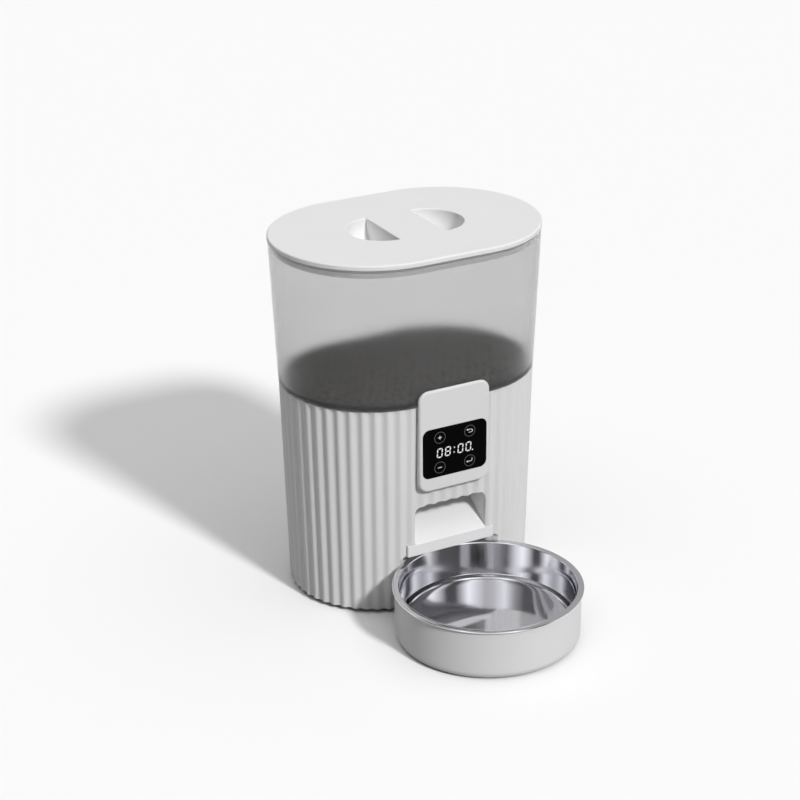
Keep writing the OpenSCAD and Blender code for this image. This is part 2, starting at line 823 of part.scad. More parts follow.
function tooth(n, at) =
    let (
        rp = gear_m * n / 2, rb = rp * cos(pressure),
        ra = rp + add_k * gear_m, rf = rp - ded_k * gear_m,
        r0 = max(rb, rf), steps = 5,
        rs = [for (k = [0 : steps]) r0 + (ra - r0) * k / steps]
    )
    concat(
        [rf * [cos(at - half_tooth(n, r0)), sin(at - half_tooth(n, r0))]],
        [for (k = [0 : steps]) rs[k] * [cos(at - half_tooth(n, rs[k])), sin(at - half_tooth(n, rs[k]))]],
        [for (k = [steps : -1 : 0]) rs[k] * [cos(at + half_tooth(n, rs[k])), sin(at + half_tooth(n, rs[k]))]],
        [rf * [cos(at + half_tooth(n, r0)), sin(at + half_tooth(n, r0))]]
    );

// A gear with tooth 0 centred on angle a0
module gear(n, a0, z0, z1) {
    translate([0, 0, z0]) linear_extrude(z1 - z0)
        polygon([for (i = [0 : n - 1]) each tooth(n, a0 + 360 * i / n)]);
}

// Directions between the gears' centres, and the turn of each gear that meshes them
to_idler = atan2(idler_y - rotor_back, idler_x);
to_motor = atan2(motor_y - idler_y, motor_x - idler_x);
idler_phase = to_idler + 180 + 180 / pinion_teeth;
motor_phase = to_motor + 180 + 180 / pinion_teeth;

module output_gear() {
    color("#D9C27A") at_rotor() difference() {
        union() {
            gear(output_teeth, to_idler, output_low, output_low + gear_face);
            translate([0, 0, output_low]) cylinder(r = 7, h = gear_face + 4);
        }
        translate([0, 0, output_low - 1]) cylinder(r = shaft_r, h = gear_face + 6);
    }
}

module idler_gear() {
    color("#D9D5CC") at_body() translate([idler_x, idler_y, 0]) difference() {
        union() {
            gear(pinion_teeth, idler_phase, output_low, wheel_low);
            gear(wheel_teeth, to_motor, wheel_low, wheel_low + gear_face);
        }
        translate([0, 0, output_low - 1]) cylinder(r = axle_r + run_gap, h = 4 * gear_face);
    }
}

module motor_pinion() {
    color("#C8A24A") at_body() translate([motor_x, motor_y, 0]) difference() {
        gear(pinion_teeth, motor_phase, wheel_low, wheel_low + gear_face);
        translate([0, 0, wheel_low - 1]) cylinder(r = axle_r, h = 2 * gear_face);
    }
}

module motor_shaft() {
    color(steel) at_body() translate([motor_x, motor_y, wheel_low - 0.5])
        cylinder(r = axle_r, h = gear_top + 5 - wheel_low);
}

module drive_shaft() {
    color(steel) at_rotor() translate([0, 0, gear_low + 1.2])
        cylinder(r = shaft_r, h = paddle_top + 6 - gear_low);
}

module rotor_hub() {
    color("#8C9096") at_rotor() tube(hub_r, shaft_r, chamber_floor + 1, paddle_top);
}

module rotor_paddles() {
    sleeve = 2;
    blade_t = 2;
    color("#6F7378") at_rotor() difference() {
        union() {
            translate([0, 0, paddle_low]) cylinder(r = hub_r + sleeve, h = paddle_top - paddle_low);
            for (i = [0 : paddles - 1]) rotate([0, 0, 360 * (i + 0.5) / paddles])
                translate([hub_r + sleeve / 2, -blade_t / 2, paddle_low])
                    cube([paddle_r - hub_r - sleeve / 2, blade_t, paddle_top - paddle_low]);
        }
        translate([0, 0, paddle_low - 1]) cylinder(r = hub_r, h = chamber_h);
    }
}

module agitator() {
    color("#8C9096") at_rotor() difference() {
        union() {
            translate([0, 0, paddle_top]) cylinder(r = 6.5, h = 18);
            translate([0, 0, paddle_top + 18]) cylinder(r1 = 6.5, r2 = 3.5, h = 3);
            for (k = [0, 1]) rotate([0, 0, 180 * k + 40]) translate([0, 0, paddle_top + 11 + 4 * k])
                rotate([0, 90, 0]) cylinder(r = 2.5, h = 30);
        }
        translate([0, 0, paddle_top - 1]) cylinder(r = shaft_r, h = 8.2);
    }
}

// ---- Hopper, food and lid -----------------------------------------------------

skirt_t = 2;
step_t = 4;
funnel_low = deck_z + plate_t + 6;

// A thin slice of the oval, as a hull's child
module oval_slice(r, z) {
    for (side = [-1, 1]) translate([side * flat_half, 0, z]) cylinder(r = r, h = 0.5, $fn = 40);
}

module round_slice(r, z) {
    translate([0, rotor_back, z]) cylinder(r = r, h = 0.5, $fn = 40);
}

module hopper() {
    skirt_r = inner_r(seam_z - skirt_h) - slide_gap;
    color("#C9CBCC", 0.5) at_body() {
        oval_sweep() polygon([
            [seam_r, seam_z], [mouth_r, mouth_z], [mouth_r - hopper_wall, mouth_z],
            [seam_r - hopper_wall, seam_z + step_t], [skirt_r - skirt_t, seam_z - 2],
            [skirt_r - skirt_t, seam_z - skirt_h], [skirt_r, seam_z - skirt_h], [skirt_r, seam_z]
        ]);
        difference() {
            union() {
                hull() {
                    oval_slice(skirt_r - skirt_t / 2, seam_z - 4.5);
                    round_slice(neck_r + hopper_wall, funnel_low);
                }
                translate([0, rotor_back, deck_z + plate_t + seat_gap])
                    cylinder(r = neck_r + hopper_wall, h = funnel_low - deck_z - plate_t);
            }
            hull() {
                oval_slice(skirt_r - skirt_t / 2 - 0.5, seam_z - 2.3);
                round_slice(neck_r, funnel_low + 1.8);
            }
            oval_solid(seam_z - 2.1, skirt_r - skirt_t, seam_z, skirt_r - skirt_t);
            translate([0, rotor_back, deck_z]) cylinder(r = neck_r, h = funnel_low + 2.2 - deck_z);
        }
    }
}

module food_fill() {
    r = seam_r - hopper_wall - 0.8;
    color("#6B5F52") at_body() hull() {
        oval_slice(r, seam_z + step_t);
        oval_slice(r, seam_z + food_level - 0.5);
        round_slice(neck_r - 8, funnel_low + 7);
    }
}

module scoop(r, side, cut) {
    translate([side * grip_w / 2, 0, top_z]) intersection() {
        sphere(r, $fn = 96);
        translate([side > 0 ? -cut : -r - 1, -r - 1, -r - 1]) cube([r + 1 + cut, 2 * r + 2, r + 1 + 5]);
    }
}

module lid() {
    edge = 1.5;
    scoop_t = 2;
    plug_r = mouth_r - hopper_wall - 2.2;
    color(white) at_body() difference() {
        union() {
            oval_sweep() {
                ring_profile(0, lid_r - edge, mouth_z, top_z);
                ring_profile(lid_r - edge - 1, lid_r, mouth_z, top_z - edge);
                translate([lid_r - edge, top_z - edge]) circle(edge, $fn = 32);
            }
            oval_sweep() ring_profile(plug_r - 2, plug_r, mouth_z - plug_h, mouth_z + 1);
            for (side = [-1, 1]) intersection() {
                scoop(scoop_r + scoop_t, side, scoop_t);
                translate([-100, -100, 0]) cube([200, 200, top_z - 1]);
            }
        }
        for (side = [-1, 1]) scoop(scoop_r, side, 0);
    }
}

module lid_seal() {
    plug_r = mouth_r - hopper_wall - 2.2;
    color("#D5D6D6") at_body()
        oval_sweep() ring_profile(plug_r, plug_r + 1.6, mouth_z - plug_h + 2, mouth_z - plug_h + 5);
}

dry_w = 34;
dry_l = 72;
dry_h = 14;
dry_wall = 1.2;
dry_door_t = 1.5;
dry_door_gap = 0.1;
dry_pin_r = 0.8;
dry_pin_gap = 0.05;
dry_knuckle_r = 1.5;
dry_knuckle_w = 22;
dry_lug_w = 2.4;
dry_floor = mouth_z - dry_h;
dry_hinge_y = -dry_l / 2 - dry_knuckle_r - slide_gap;
dry_hinge_z = dry_floor - dry_door_gap - dry_door_t / 2;
dry_lug_x = dry_knuckle_w / 2 + slide_gap + dry_lug_w / 2;

module dry_hinge_rod(r, length) {
    rotate([0, 90, 0]) cylinder(r = r, h = length, center = true, $fn = 48);
}

module desiccant_box() {
    web_h = 5;
    color(inner_white) at_body() difference() {
        union() {
            translate([-dry_w / 2, -dry_l / 2, dry_floor]) cube([dry_w, dry_l, dry_h]);
            for (side = [-1, 1]) translate([side * dry_lug_x, dry_hinge_y, dry_hinge_z]) {
                dry_hinge_rod(dry_knuckle_r, dry_lug_w);
                translate([-dry_lug_w / 2, -dry_knuckle_r, dry_door_t / 2 + dry_door_gap])
                    cube([dry_lug_w, 2 * dry_knuckle_r + slide_gap + dry_wall / 2, web_h]);
            }
        }
        translate([-dry_w / 2 + dry_wall, -dry_l / 2 + dry_wall, dry_floor - 1])
            cube([dry_w - 2 * dry_wall, dry_l - 2 * dry_wall, dry_h - dry_wall + 1]);
        translate([0, dry_hinge_y, dry_hinge_z]) dry_hinge_rod(dry_pin_r + dry_pin_gap, dry_w);
    }
}

module desiccant_cartridge() {
    color("#BFD3E0") at_body() difference() {
        translate([-dry_w / 2 + 2, -dry_l / 2 + 2, dry_floor + 1])
            cube([dry_w - 4, dry_l - 4, dry_h - dry_wall - 1.2]);
        for (x = [-9 : 6 : 9], y = [-24 : 8 : 24])
            translate([x, y, dry_floor]) cylinder(r = 1.5, h = 3, $fn = 24);
    }
}

module desiccant_door() {
    color(inner_white) at_body() difference() {
        union() {
            translate([-dry_w / 2, -dry_l / 2, dry_hinge_z - dry_door_t / 2])
                cube([dry_w, dry_l, dry_door_t]);
            translate([0, dry_hinge_y, dry_hinge_z]) {
                dry_hinge_rod(dry_knuckle_r, dry_knuckle_w);
                dry_hinge_rod(dry_pin_r, 2 * dry_lug_x + dry_lug_w);
                translate([-dry_knuckle_w / 2, 0, -dry_door_t / 2])
                    cube([dry_knuckle_w, dry_knuckle_r + slide_gap + 1, dry_door_t]);
            }
        }
        for (y = [-dry_l / 2 + 12 : 8 : dry_l / 2 - 12])
            translate([-dry_w / 2 + 6, y, dry_floor - 5]) cube([dry_w - 12, 3, 6]);
    }
}

// ---- Bowl ---------------------------------------------------------------------

holder_r = rim_r - 2.1;
bowl_r = rim_r - rim_w;
bowl_floor = 13;
floor_r = bowl_r - 5.8;

module bowl_holder() {
    fillet = 7;
    color(white) translate([0, bowl_y, 0]) difference() {
        rotate_extrude($fn = 128) {
            square([holder_r - fillet, fillet + 1]);
            translate([0, fillet]) square([holder_r, rim_z - steel_t - fillet]);
            translate([holder_r - fillet, fillet]) circle(fillet);
        }
        translate([0, 0, fillet]) cylinder(r = holder_r - holder_wall, h = rim_z, $fn = 128);
        translate([0, 0, 2]) cylinder(r = holder_r - fillet, h = rim_z, $fn = 128);
    }
}

module steel_bowl() {
    bead = 0.9;
    color(steel) translate([0, bowl_y, 0]) rotate_extrude($fn = 128) {
        polygon([
            [0, bowl_floor - steel_t], [floor_r, bowl_floor - steel_t],
            [floor_r + 2, bowl_floor + 2.5], [bowl_r - 1.4, bowl_floor + 3.2],
            [bowl_r, bowl_floor + 5], [bowl_r + 0.6, rim_z - steel_t],
            [rim_r - bead, rim_z - steel_t], [rim_r - bead, rim_z], [bowl_r, rim_z],
            [bowl_r - steel_t, bowl_floor + 5.6], [bowl_r - 2, bowl_floor + 4],
            [floor_r + 1.6, bowl_floor + 3.3], [floor_r - 0.6, bowl_floor], [0, bowl_floor]
        ]);
        translate([rim_r - bead, rim_z - bead]) circle(bead, $fn = 24);
    }
}

base_shell();
bottom_cover();
rubber_feet();
bottom_screws();
bowl_dock();
chute();
rotor_chamber();
chamber_screws();
drop_shield();
deck();
front_panel();
display_window();
led_display();
touch_springs();
display_board();
panel_screws();
main_board();
board_parts();
dc_jack();
battery_box();
battery_contacts();
battery_cells();
gearbox_case();
gearbox_cover();
gearbox_screws();
idler_pin();
output_bush();
shaft_seal();
geared_motor();
motor_screws();
hopper();
food_fill();
lid();
lid_seal();
desiccant_box();
desiccant_cartridge();
desiccant_door();
rotor_hub();
rotor_paddles();
agitator();
drive_shaft();
output_gear();
idler_gear();
motor_shaft();
motor_pinion();
bowl_holder();
steel_bowl();
battery_door();
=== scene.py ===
import math
import random

import bmesh
import bpy
from mathutils import Matrix, Vector


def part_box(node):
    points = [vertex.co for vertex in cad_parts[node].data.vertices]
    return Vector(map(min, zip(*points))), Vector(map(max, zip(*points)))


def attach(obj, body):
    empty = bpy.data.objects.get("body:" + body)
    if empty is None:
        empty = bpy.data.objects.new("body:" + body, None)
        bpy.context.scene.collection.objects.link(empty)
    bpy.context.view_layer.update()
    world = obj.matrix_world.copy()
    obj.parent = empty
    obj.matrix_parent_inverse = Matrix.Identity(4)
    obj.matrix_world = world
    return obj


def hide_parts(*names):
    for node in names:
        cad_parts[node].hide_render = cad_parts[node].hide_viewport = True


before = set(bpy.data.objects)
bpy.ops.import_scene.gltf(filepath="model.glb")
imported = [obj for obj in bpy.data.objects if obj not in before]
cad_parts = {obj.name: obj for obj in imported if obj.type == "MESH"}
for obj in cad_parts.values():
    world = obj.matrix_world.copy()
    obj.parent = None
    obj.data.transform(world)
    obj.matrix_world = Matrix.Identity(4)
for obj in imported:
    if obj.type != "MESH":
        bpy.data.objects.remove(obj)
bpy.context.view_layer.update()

# ---- Camera ------------------------------------------------------------------------------------
# It stands 1.8 m away, to the left of the feeder's front, and looks down on it. The feeder
# stands left of the middle of the view, because its shadow falls back and to the left.
MM = 0.001
CAMERA_AZIMUTH = math.radians(-28.011)
CAMERA_HEIGHT_ANGLE = math.radians(23.828)
CAMERA_ROLL = math.radians(-0.553)
CAMERA_DISTANCE = 1800 * MM
CAMERA_LENS = 91.77
SENSOR_WIDE = 36
CAMERA_TARGET = Vector((21.32, 118.46, 132.33)) * MM


def linked(name, data):
    """A new object in the scene, made of a mesh, a light or a camera."""
    made = bpy.data.objects.new(name, data)
    bpy.context.scene.collection.objects.link(made)
    return made


camera = linked("camera", bpy.data.cameras.new("camera"))
camera.data.lens = CAMERA_LENS
camera.data.sensor_width = SENSOR_WIDE
turn = (Matrix.Rotation(CAMERA_AZIMUTH, 4, "Z")
        @ Matrix.Rotation(math.pi / 2 - CAMERA_HEIGHT_ANGLE, 4, "X")
        @ Matrix.Rotation(CAMERA_ROLL, 4, "Z"))
camera.matrix_world = Matrix.Translation(CAMERA_TARGET + turn.col[2].xyz * CAMERA_DISTANCE) @ turn
bpy.context.scene.camera = camera
bpy.context.scene.view_settings.view_transform = "Standard"

# ---- Studio ------------------------------------------------------------------------------------
# A sheet of pale paper under one large soft light, high in front, and a wide soft box overhead.
# The walls are pale, but polished metal sees tall soft boxes and dark gaps instead, which draw
# upright streaks in it. The paper throws little light back up, as grey card would.


def linear(hex_colour):
    """Linear red, green, blue and alpha of an sRGB colour such as #E8E8E4."""
    channels = [int(hex_colour[i:i + 2], 16) / 255 for i in (1, 3, 5)]
    return [c / 12.92 if c <= 0.04045 else ((c + 0.055) / 1.055) ** 2.4 for c in channels] + [1]


def add(tree, kind, inputs={}, **settings):
    """Adds a node. An input is a value, a node whose first output is linked, or an output."""
    node = tree.nodes.new(kind)
    for name, value in settings.items():
        setattr(node, name, value)
    for name, value in inputs.items():
        if isinstance(value, bpy.types.Node):
            value = value.outputs[0]
        if isinstance(value, bpy.types.NodeSocket):
            tree.links.new(value, node.inputs[name])
        else:
            node.inputs[name].default_value = value
    return node


def blank(name):
    """A new material and its empty node tree."""
    material = bpy.data.materials.new(name)
    material.use_nodes = True
    material.node_tree.nodes.clear()
    return material, material.node_tree


def meshed(name, shape):
    """Turns a bmesh into a mesh."""
    mesh = bpy.data.meshes.new(name)
    shape.to_mesh(mesh)
    shape.free()
    return mesh


WALL_LIGHT = 0.95
OVERHEAD_LIGHT = 1.14
OVERHEAD_FROM = 0.62
OVERHEAD_FULL = 0.78
# Where each stop stands, as a share of a turn round the room, and how bright it is
SOFT_BOXES = [(0.00, 0.15), (0.045, 0.5), (0.09, 1.35), (0.14, 0.85), (0.175, 0.75),
              (0.215, 1.2), (0.25, 1.65), (0.285, 0.7), (0.31, 0.12), (0.35, 0.12), (0.385, 0.9),
              (0.43, 1.75), (0.48, 1.2), (0.54, 0.15), (0.60, 0.45), (0.72, 0.45), (0.77, 0.15),
              (0.81, 1.3), (0.86, 0.12), (1.00, 0.15)]

world = bpy.data.worlds.new("studio_walls")
bpy.context.scene.world = world
world.use_nodes = True
tree = world.node_tree
tree.nodes.clear()
direction = add(tree, "ShaderNodeTexCoord").outputs["Generated"]
round_the_room = add(tree, "ShaderNodeTexGradient", {"Vector": direction}, gradient_type="RADIAL")
boxes = add(tree, "ShaderNodeValToRGB", {"Fac": round_the_room})
for share, brightness in SOFT_BOXES[1:-1]:
    boxes.color_ramp.elements.new(share)
for stop, (share, brightness) in zip(boxes.color_ramp.elements, SOFT_BOXES):
    stop.color = (brightness, brightness, brightness, 1)
height = add(tree, "ShaderNodeSeparateXYZ", {"Vector": direction}).outputs["Z"]
overhead = add(tree, "ShaderNodeMapRange", {
    "Value": height, "From Min": OVERHEAD_FROM, "From Max": OVERHEAD_FULL,
    "To Min": 0.0, "To Max": OVERHEAD_LIGHT})
lighting = add(tree, "ShaderNodeBackground", {"Color": linear("#FFFFFF"), "Strength": overhead})
plain = add(tree, "ShaderNodeBackground", {"Color": linear("#FFFFFF"), "Strength": WALL_LIGHT})
banded = add(tree, "ShaderNodeBackground", {"Color": boxes, "Strength": 1.0})
ray = add(tree, "ShaderNodeLightPath")
looked_at = add(tree, "ShaderNodeMath", {
    0: ray.outputs["Is Camera Ray"], 1: ray.outputs["Is Transmission Ray"]}, operation="MAXIMUM")
walls = add(tree, "ShaderNodeMixShader", {0: looked_at, 1: lighting, 2: plain})
walls = add(tree, "ShaderNodeMixShader", {0: ray.outputs["Is Glossy Ray"], 1: walls, 2: banded})
add(tree, "ShaderNodeOutputWorld", {"Surface": walls})

TO_LIGHT = Vector((0.143, -0.779, 0.610))
LIGHT_STRENGTH = 2.46
LIGHT_WIDE = math.radians(7)
lamp = linked("soft_light", bpy.data.lights.new("soft_light", "SUN"))
lamp.data.energy = LIGHT_STRENGTH
lamp.data.angle = LIGHT_WIDE
lamp.visible_glossy = False
lamp.rotation_euler = TO_LIGHT.to_track_quat("Z", "Y").to_euler()

PAPER_RADIUS = 9000 * MM
PAPER_FIBRE = 3 * MM
paper, tree = blank("matt_paper_backdrop")
place = add(tree, "ShaderNodeTexCoord").outputs["Object"]
fibres = add(tree, "ShaderNodeTexNoise", {"Vector": place, "Scale": 1 / PAPER_FIBRE, "Detail": 3.0})
bump = add(tree, "ShaderNodeBump", {"Height": fibres, "Strength": 0.2, "Distance": 0.02 * MM})
bounced = add(tree, "ShaderNodeLightPath").outputs["Is Diffuse Ray"]
paper_shade = add(tree, "ShaderNodeMixRGB", {
    "Fac": bounced, "Color1": linear("#F4F4F4"), "Color2": linear("#A0A0A0")})
sheet = add(tree, "ShaderNodeBsdfPrincipled", {
    "Base Color": paper_shade, "Roughness": 1.0, "Specular IOR Level": 0.0, "Normal": bump})
add(tree, "ShaderNodeOutputMaterial", {"Surface": sheet})
shape = bmesh.new()
bmesh.ops.create_circle(shape, cap_ends=True, segments=64, radius=PAPER_RADIUS)
floor = linked("floor", meshed("floor", shape))
floor.data.materials.append(paper)

# ---- Base shell and outlet chute ---------------------------------------------------------------
# The ribbed base is one injection moulding in ABS, with a fine spark-eroded texture that
# leaves a soft satin. The chute that the food slides down, and its lip, are one part, clipped in
# from inside. Flow in the mould leaves very faint shade changes a few centimetres wide.
FLOW_WIDE = 45 * MM


def moulded(name, light, dark, roughness, grain_mm, depth_mm, edge_mm=0.0, **fixed):
    """A moulded plastic or rubber: slow flow marks between two shades, and the mould's
    texture as a fine bump that also changes the gloss. edge_mm rounds hard edges."""
    material, tree = blank(name)
    place = add(tree, "ShaderNodeTexCoord").outputs["Object"]
    flow = add(tree, "ShaderNodeTexNoise", {"Vector": place, "Scale": 1 / FLOW_WIDE, "Detail": 2.0})
    shade = add(tree, "ShaderNodeMixRGB", {
        "Fac": flow, "Color1": linear(dark), "Color2": linear(light)})
    grain = add(tree, "ShaderNodeTexNoise", {
        "Vector": place, "Scale": 1 / (grain_mm * MM), "Detail": 3.0})
    gloss = add(tree, "ShaderNodeMapRange", {
        "Value": grain, "From Min": 0.3, "From Max": 0.7,
        "To Min": roughness - 0.05, "To Max": roughness + 0.05})
    bump = add(tree, "ShaderNodeBump", {
        "Height": grain, "Strength": 0.6, "Distance": depth_mm * MM})
    if edge_mm:
        edge = add(tree, "ShaderNodeBevel", {"Radius": edge_mm * MM}, samples=6)
        tree.links.new(edge.outputs[0], bump.inputs["Normal"])
    plastic = add(tree, "ShaderNodeBsdfPrincipled", {
        "Base Color": shade, "Roughness": gloss, "Normal": bump, **fixed})
    add(tree, "ShaderNodeOutputMaterial", {"Surface": plastic})
    return material


def dress(material, *names):
    """Gives CAD nodes a finished material."""
    for name in names:
        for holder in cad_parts[name].material_slots:
            holder.material = material


def piece(shape, name, body, material, crease=35, flat_faces=False):
    """Makes a bmesh a finished piece, smooth up to the crease angle, that rides on a body.
    flat_faces keeps large faces flat up to their rounded edges."""
    mesh = meshed(name, shape)
    mesh.shade_smooth()
    mesh.set_sharp_from_angle(angle=math.radians(crease))
    mesh.materials.append(material)
    made = linked(name, mesh)
    if flat_faces:
        made.modifiers.new("flat_faces", "WEIGHTED_NORMAL").keep_sharp = True
    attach(made, body)
    return made


WELD = 0.002 * MM
FLAT_WITHIN = math.radians(0.5)


def merged(node):
    """A copy of a CAD node's shape as one closed skin with whole flat faces."""
    shape = bmesh.new()
    shape.from_mesh(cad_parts[node].data)
    bmesh.ops.remove_doubles(shape, verts=shape.verts, dist=WELD)
    bmesh.ops.dissolve_limit(shape, angle_limit=FLAT_WITHIN, verts=shape.verts,
                             edges=shape.edges)
    return shape


white_abs = moulded("white_abs_satin_moulded", "#DEDEDE", "#DADADA", 0.42, 0.9, 0.012,
                    edge_mm=0.6, IOR=1.53)
# The chute's white is painted lighter than the shell's, standing in for the light that falls on its
# slide; its lower roughness is real polish.
dress(moulded("white_abs_polished_slide_painted_light", "#EAEAEA", "#E7E7E7", 0.36, 0.9, 0.008, edge_mm=0.6,
              IOR=1.53), "chute")

# The ribs are waves, rounded on the crest and in the groove, so the shell's outside is trimmed
# to a waved block that stands just inside the crests
END_RIBS = 24
FLAT_RIBS = 6
RIB_STEPS = 12
RIB_DEPTH = 1.8 * MM
CREST_TRIM = 0.1 * MM
RIB_CREASE = math.radians(30)
FOOT_RADIUS = 75 * MM
shell_low, shell_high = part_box("base_shell")
middle = (shell_low[1] + shell_high[1]) / 2
seam_radius = (shell_high[1] - shell_low[1]) / 2
tank_low, tank_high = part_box("hopper")
mouth_radius = (tank_high[1] - tank_low[1]) / 2
flat = tank_high[0] - mouth_radius
seam = shell_high[2]
foot = shell_low[2]


def waved_loop(shape, height):
    """The edges of the ribbed outline at a height: waves round each end and along each side."""
    out = FOOT_RADIUS + (seam_radius - FOOT_RADIUS) * (height - foot) / (seam - foot)
    half_turn = END_RIBS + FLAT_RIBS
    made = bmesh.ops.create_circle(shape, segments=2 * half_turn * RIB_STEPS, radius=out)
    for k, corner in enumerate(made["verts"]):
        rib, step = divmod(k, RIB_STEPS)
        along = rib % half_turn + step / RIB_STEPS
        radius = out - CREST_TRIM - RIB_DEPTH * math.cos(math.pi * step / RIB_STEPS) ** 2
        angle = (min(along / END_RIBS, 1) - 0.5) * math.pi
        place = Vector((flat + radius * math.cos(angle), radius * math.sin(angle)))
        place.x -= max(along - END_RIBS, 0) * 2 * flat / FLAT_RIBS
        side = 1 if rib < half_turn else -1
        corner.co = (side * place.x, middle + side * place.y, height)
    return list({edge for corner in made["verts"] for edge in corner.link_edges})


shape = bmesh.new()
ends = [waved_loop(shape, height) for height in (foot - MM, seam + MM)]
bmesh.ops.bridge_loops(shape, edges=ends[0] + ends[1])
for end in ends:
    bmesh.ops.contextual_create(shape, geom=end)
bmesh.ops.recalc_face_normals(shape, faces=shape.faces[:])
rib_waves = linked("rib_waves", meshed("rib_waves", shape))
base = piece(merged("base_shell"), "ribbed_base", "base", white_abs)
trim = base.modifiers.new("rib_waves", "BOOLEAN")
trim.operation = "INTERSECT"
trim.object = rib_waves
trim.solver = "MANIFOLD"
evaluated = bpy.context.evaluated_depsgraph_get()
trimmed = bpy.data.meshes.new_from_object(base.evaluated_get(evaluated))
base.modifiers.clear()
base.data = trimmed
trimmed.shade_smooth()
trimmed.set_sharp_from_angle(angle=RIB_CREASE)
base.modifiers.new("flat_faces", "WEIGHTED_NORMAL").keep_sharp = True
bpy.data.objects.remove(rib_waves)
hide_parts("base_shell")

# ---- Control panel -----------------------------------------------------------------------------
# A separate ABS moulding, fixed from inside, that stands proud of the ribs and carries the
# electronics in a box behind its face. Its front edge is rounded to 2 mm, and the window's
# recess has only a broken edge.
SHARP = math.radians(35)
ROUNDING_STEPS = 4


def softened(node, radius, chosen):
    """A copy of a CAD node's shape, with the sharp edges rounded that chosen() picks by
    the place of their middle."""
    shape = merged(node)
    sharp = [edge for edge in shape.edges
             if edge.is_manifold and edge.calc_face_angle() > SHARP
             and chosen((edge.verts[0].co + edge.verts[1].co) / 2)]
    bmesh.ops.bevel(shape, geom=sharp, offset=radius, affect="EDGES", segments=ROUNDING_STEPS,
                    profile=0.5, material=-1, clamp_overlap=True)
    return shape


PANEL_EDGE = 2.0 * MM
ON_FACE = 0.01 * MM
window_low, window_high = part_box("display_window")
panel_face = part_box("front_panel")[0][1]


def beside_window(p):
    """True outside the window's recess, with a millimetre to spare."""
    return (p.x < window_low[0] - MM or p.x > window_high[0] + MM
            or p.z < window_low[2] - MM or p.z > window_high[2] + MM)


shape = softened("front_panel", PANEL_EDGE,
                 lambda p: abs(p.y - panel_face) < ON_FACE and beside_window(p))
control_panel = piece(shape, "control_panel", "base", white_abs, flat_faces=True)
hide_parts("front_panel")

# ---- Display window ----------------------------------------------------------------------------
# Smoked acrylic, flush in the panel, which looks black over the dark board behind it. Its
# face is polished and has a coating against glare, and its edge is broken.
WINDOW_EDGE = 0.3 * MM
smoked_acrylic = moulded("smoked_acrylic_coated", "#050506", "#030304", 0.12, 30, 0.02, IOR=1.49,
                         **{"Specular IOR Level": 0.02})
shape = softened("display_window", WINDOW_EDGE, lambda p: abs(p.y - window_low[1]) < ON_FACE)
window = piece(shape, "clock_window", "base", smoked_acrylic, flat_faces=True)
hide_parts("display_window")

# ---- Clock digits ------------------------------------------------------------------------------
# A four-digit LED clock module shines white through the window. Its digits are 8.7 mm high and
# lean by 4 degrees, and are drawn in straight bars with pointed ends. They stand on the
# window's face, where the smoked sheet can't dim them.
MARK_DEPTH = 0.06 * MM
MARK_RAISED = 0.02 * MM
CELL_WIDE = 2.5 * MM
window_middle = Vector(((window_low[0] + window_high[0]) / 2, window_low[1],
                        (window_low[2] + window_high[2]) / 2))


def bar(shape, length, width, x, y, angle=0.0, corners=6):
    """A flat bar with pointed ends: a hexagon whose two halves are drawn apart."""
    made = bmesh.ops.create_circle(shape, cap_ends=True, segments=corners, radius=width / 2)
    for corner in made["verts"]:
        if abs(corner.co.x) > 0.1 * width:
            corner.co.x += math.copysign((length - width) / 2, corner.co.x)
    bmesh.ops.transform(shape, verts=made["verts"],
                        matrix=Matrix.Translation((x, y, 0)) @ Matrix.Rotation(angle, 4, "Z"))


def onto_window(shape):
    """Thickens a flat drawing and stands it on the window's face."""
    grown = bmesh.ops.extrude_face_region(shape, geom=shape.faces[:])
    bmesh.ops.translate(shape, vec=(0, 0, MARK_DEPTH),
                        verts=[v for v in grown["geom"] if isinstance(v, bmesh.types.BMVert)])
    bmesh.ops.recalc_face_normals(shape, faces=shape.faces[:])
    bmesh.ops.transform(shape, verts=shape.verts, matrix=Matrix.Translation(
        window_middle - Vector((0, MARK_RAISED, 0))) @ Matrix.Rotation(math.pi / 2, 4, "X"))


def glowing(name, colour, edge_colour, strength):
    """Emitted light: light shining through a mask for the clock digits, and a painted glow for the
    key print; a little brighter in the middle of each cell.
    """
    material, tree = blank(name)
    place = add(tree, "ShaderNodeTexCoord").outputs["Object"]
    cells = add(tree, "ShaderNodeTexNoise", {"Vector": place, "Scale": 1 / CELL_WIDE})
    shade = add(tree, "ShaderNodeMixRGB", {
        "Fac": cells, "Color1": linear(edge_colour), "Color2": linear(colour)})
    light = add(tree, "ShaderNodeBsdfPrincipled", {
        "Base Color": linear("#202022"), "Roughness": 0.3, "Emission Color": shade,
        "Emission Strength": strength})
    add(tree, "ShaderNodeOutputMaterial", {"Surface": light})
    return material


DIGIT_HIGH = 7.5 * MM
DIGIT_WIDE = 4.3 * MM
STROKE = 1.2 * MM
DIGIT_DROP = 0.5 * MM
DIGIT_LEAN = math.tan(math.radians(4))
UPRIGHT_CUT = 0.35 * MM
COLON_DOT = 1.2 * MM
COLON_ACROSS = -0.6 * MM
COLON_UP = 2.1 * MM
POINT_DOT = 1.3 * MM
POINT_ACROSS = 16.9 * MM
DOT_CORNERS = 12
DIGITS = [("0", -14.2), ("8", -6.6), ("0", 5.3), ("0", 12.8)]
HIGH_BARS = {"0": (-1, 1), "8": (-1, 0, 1)}

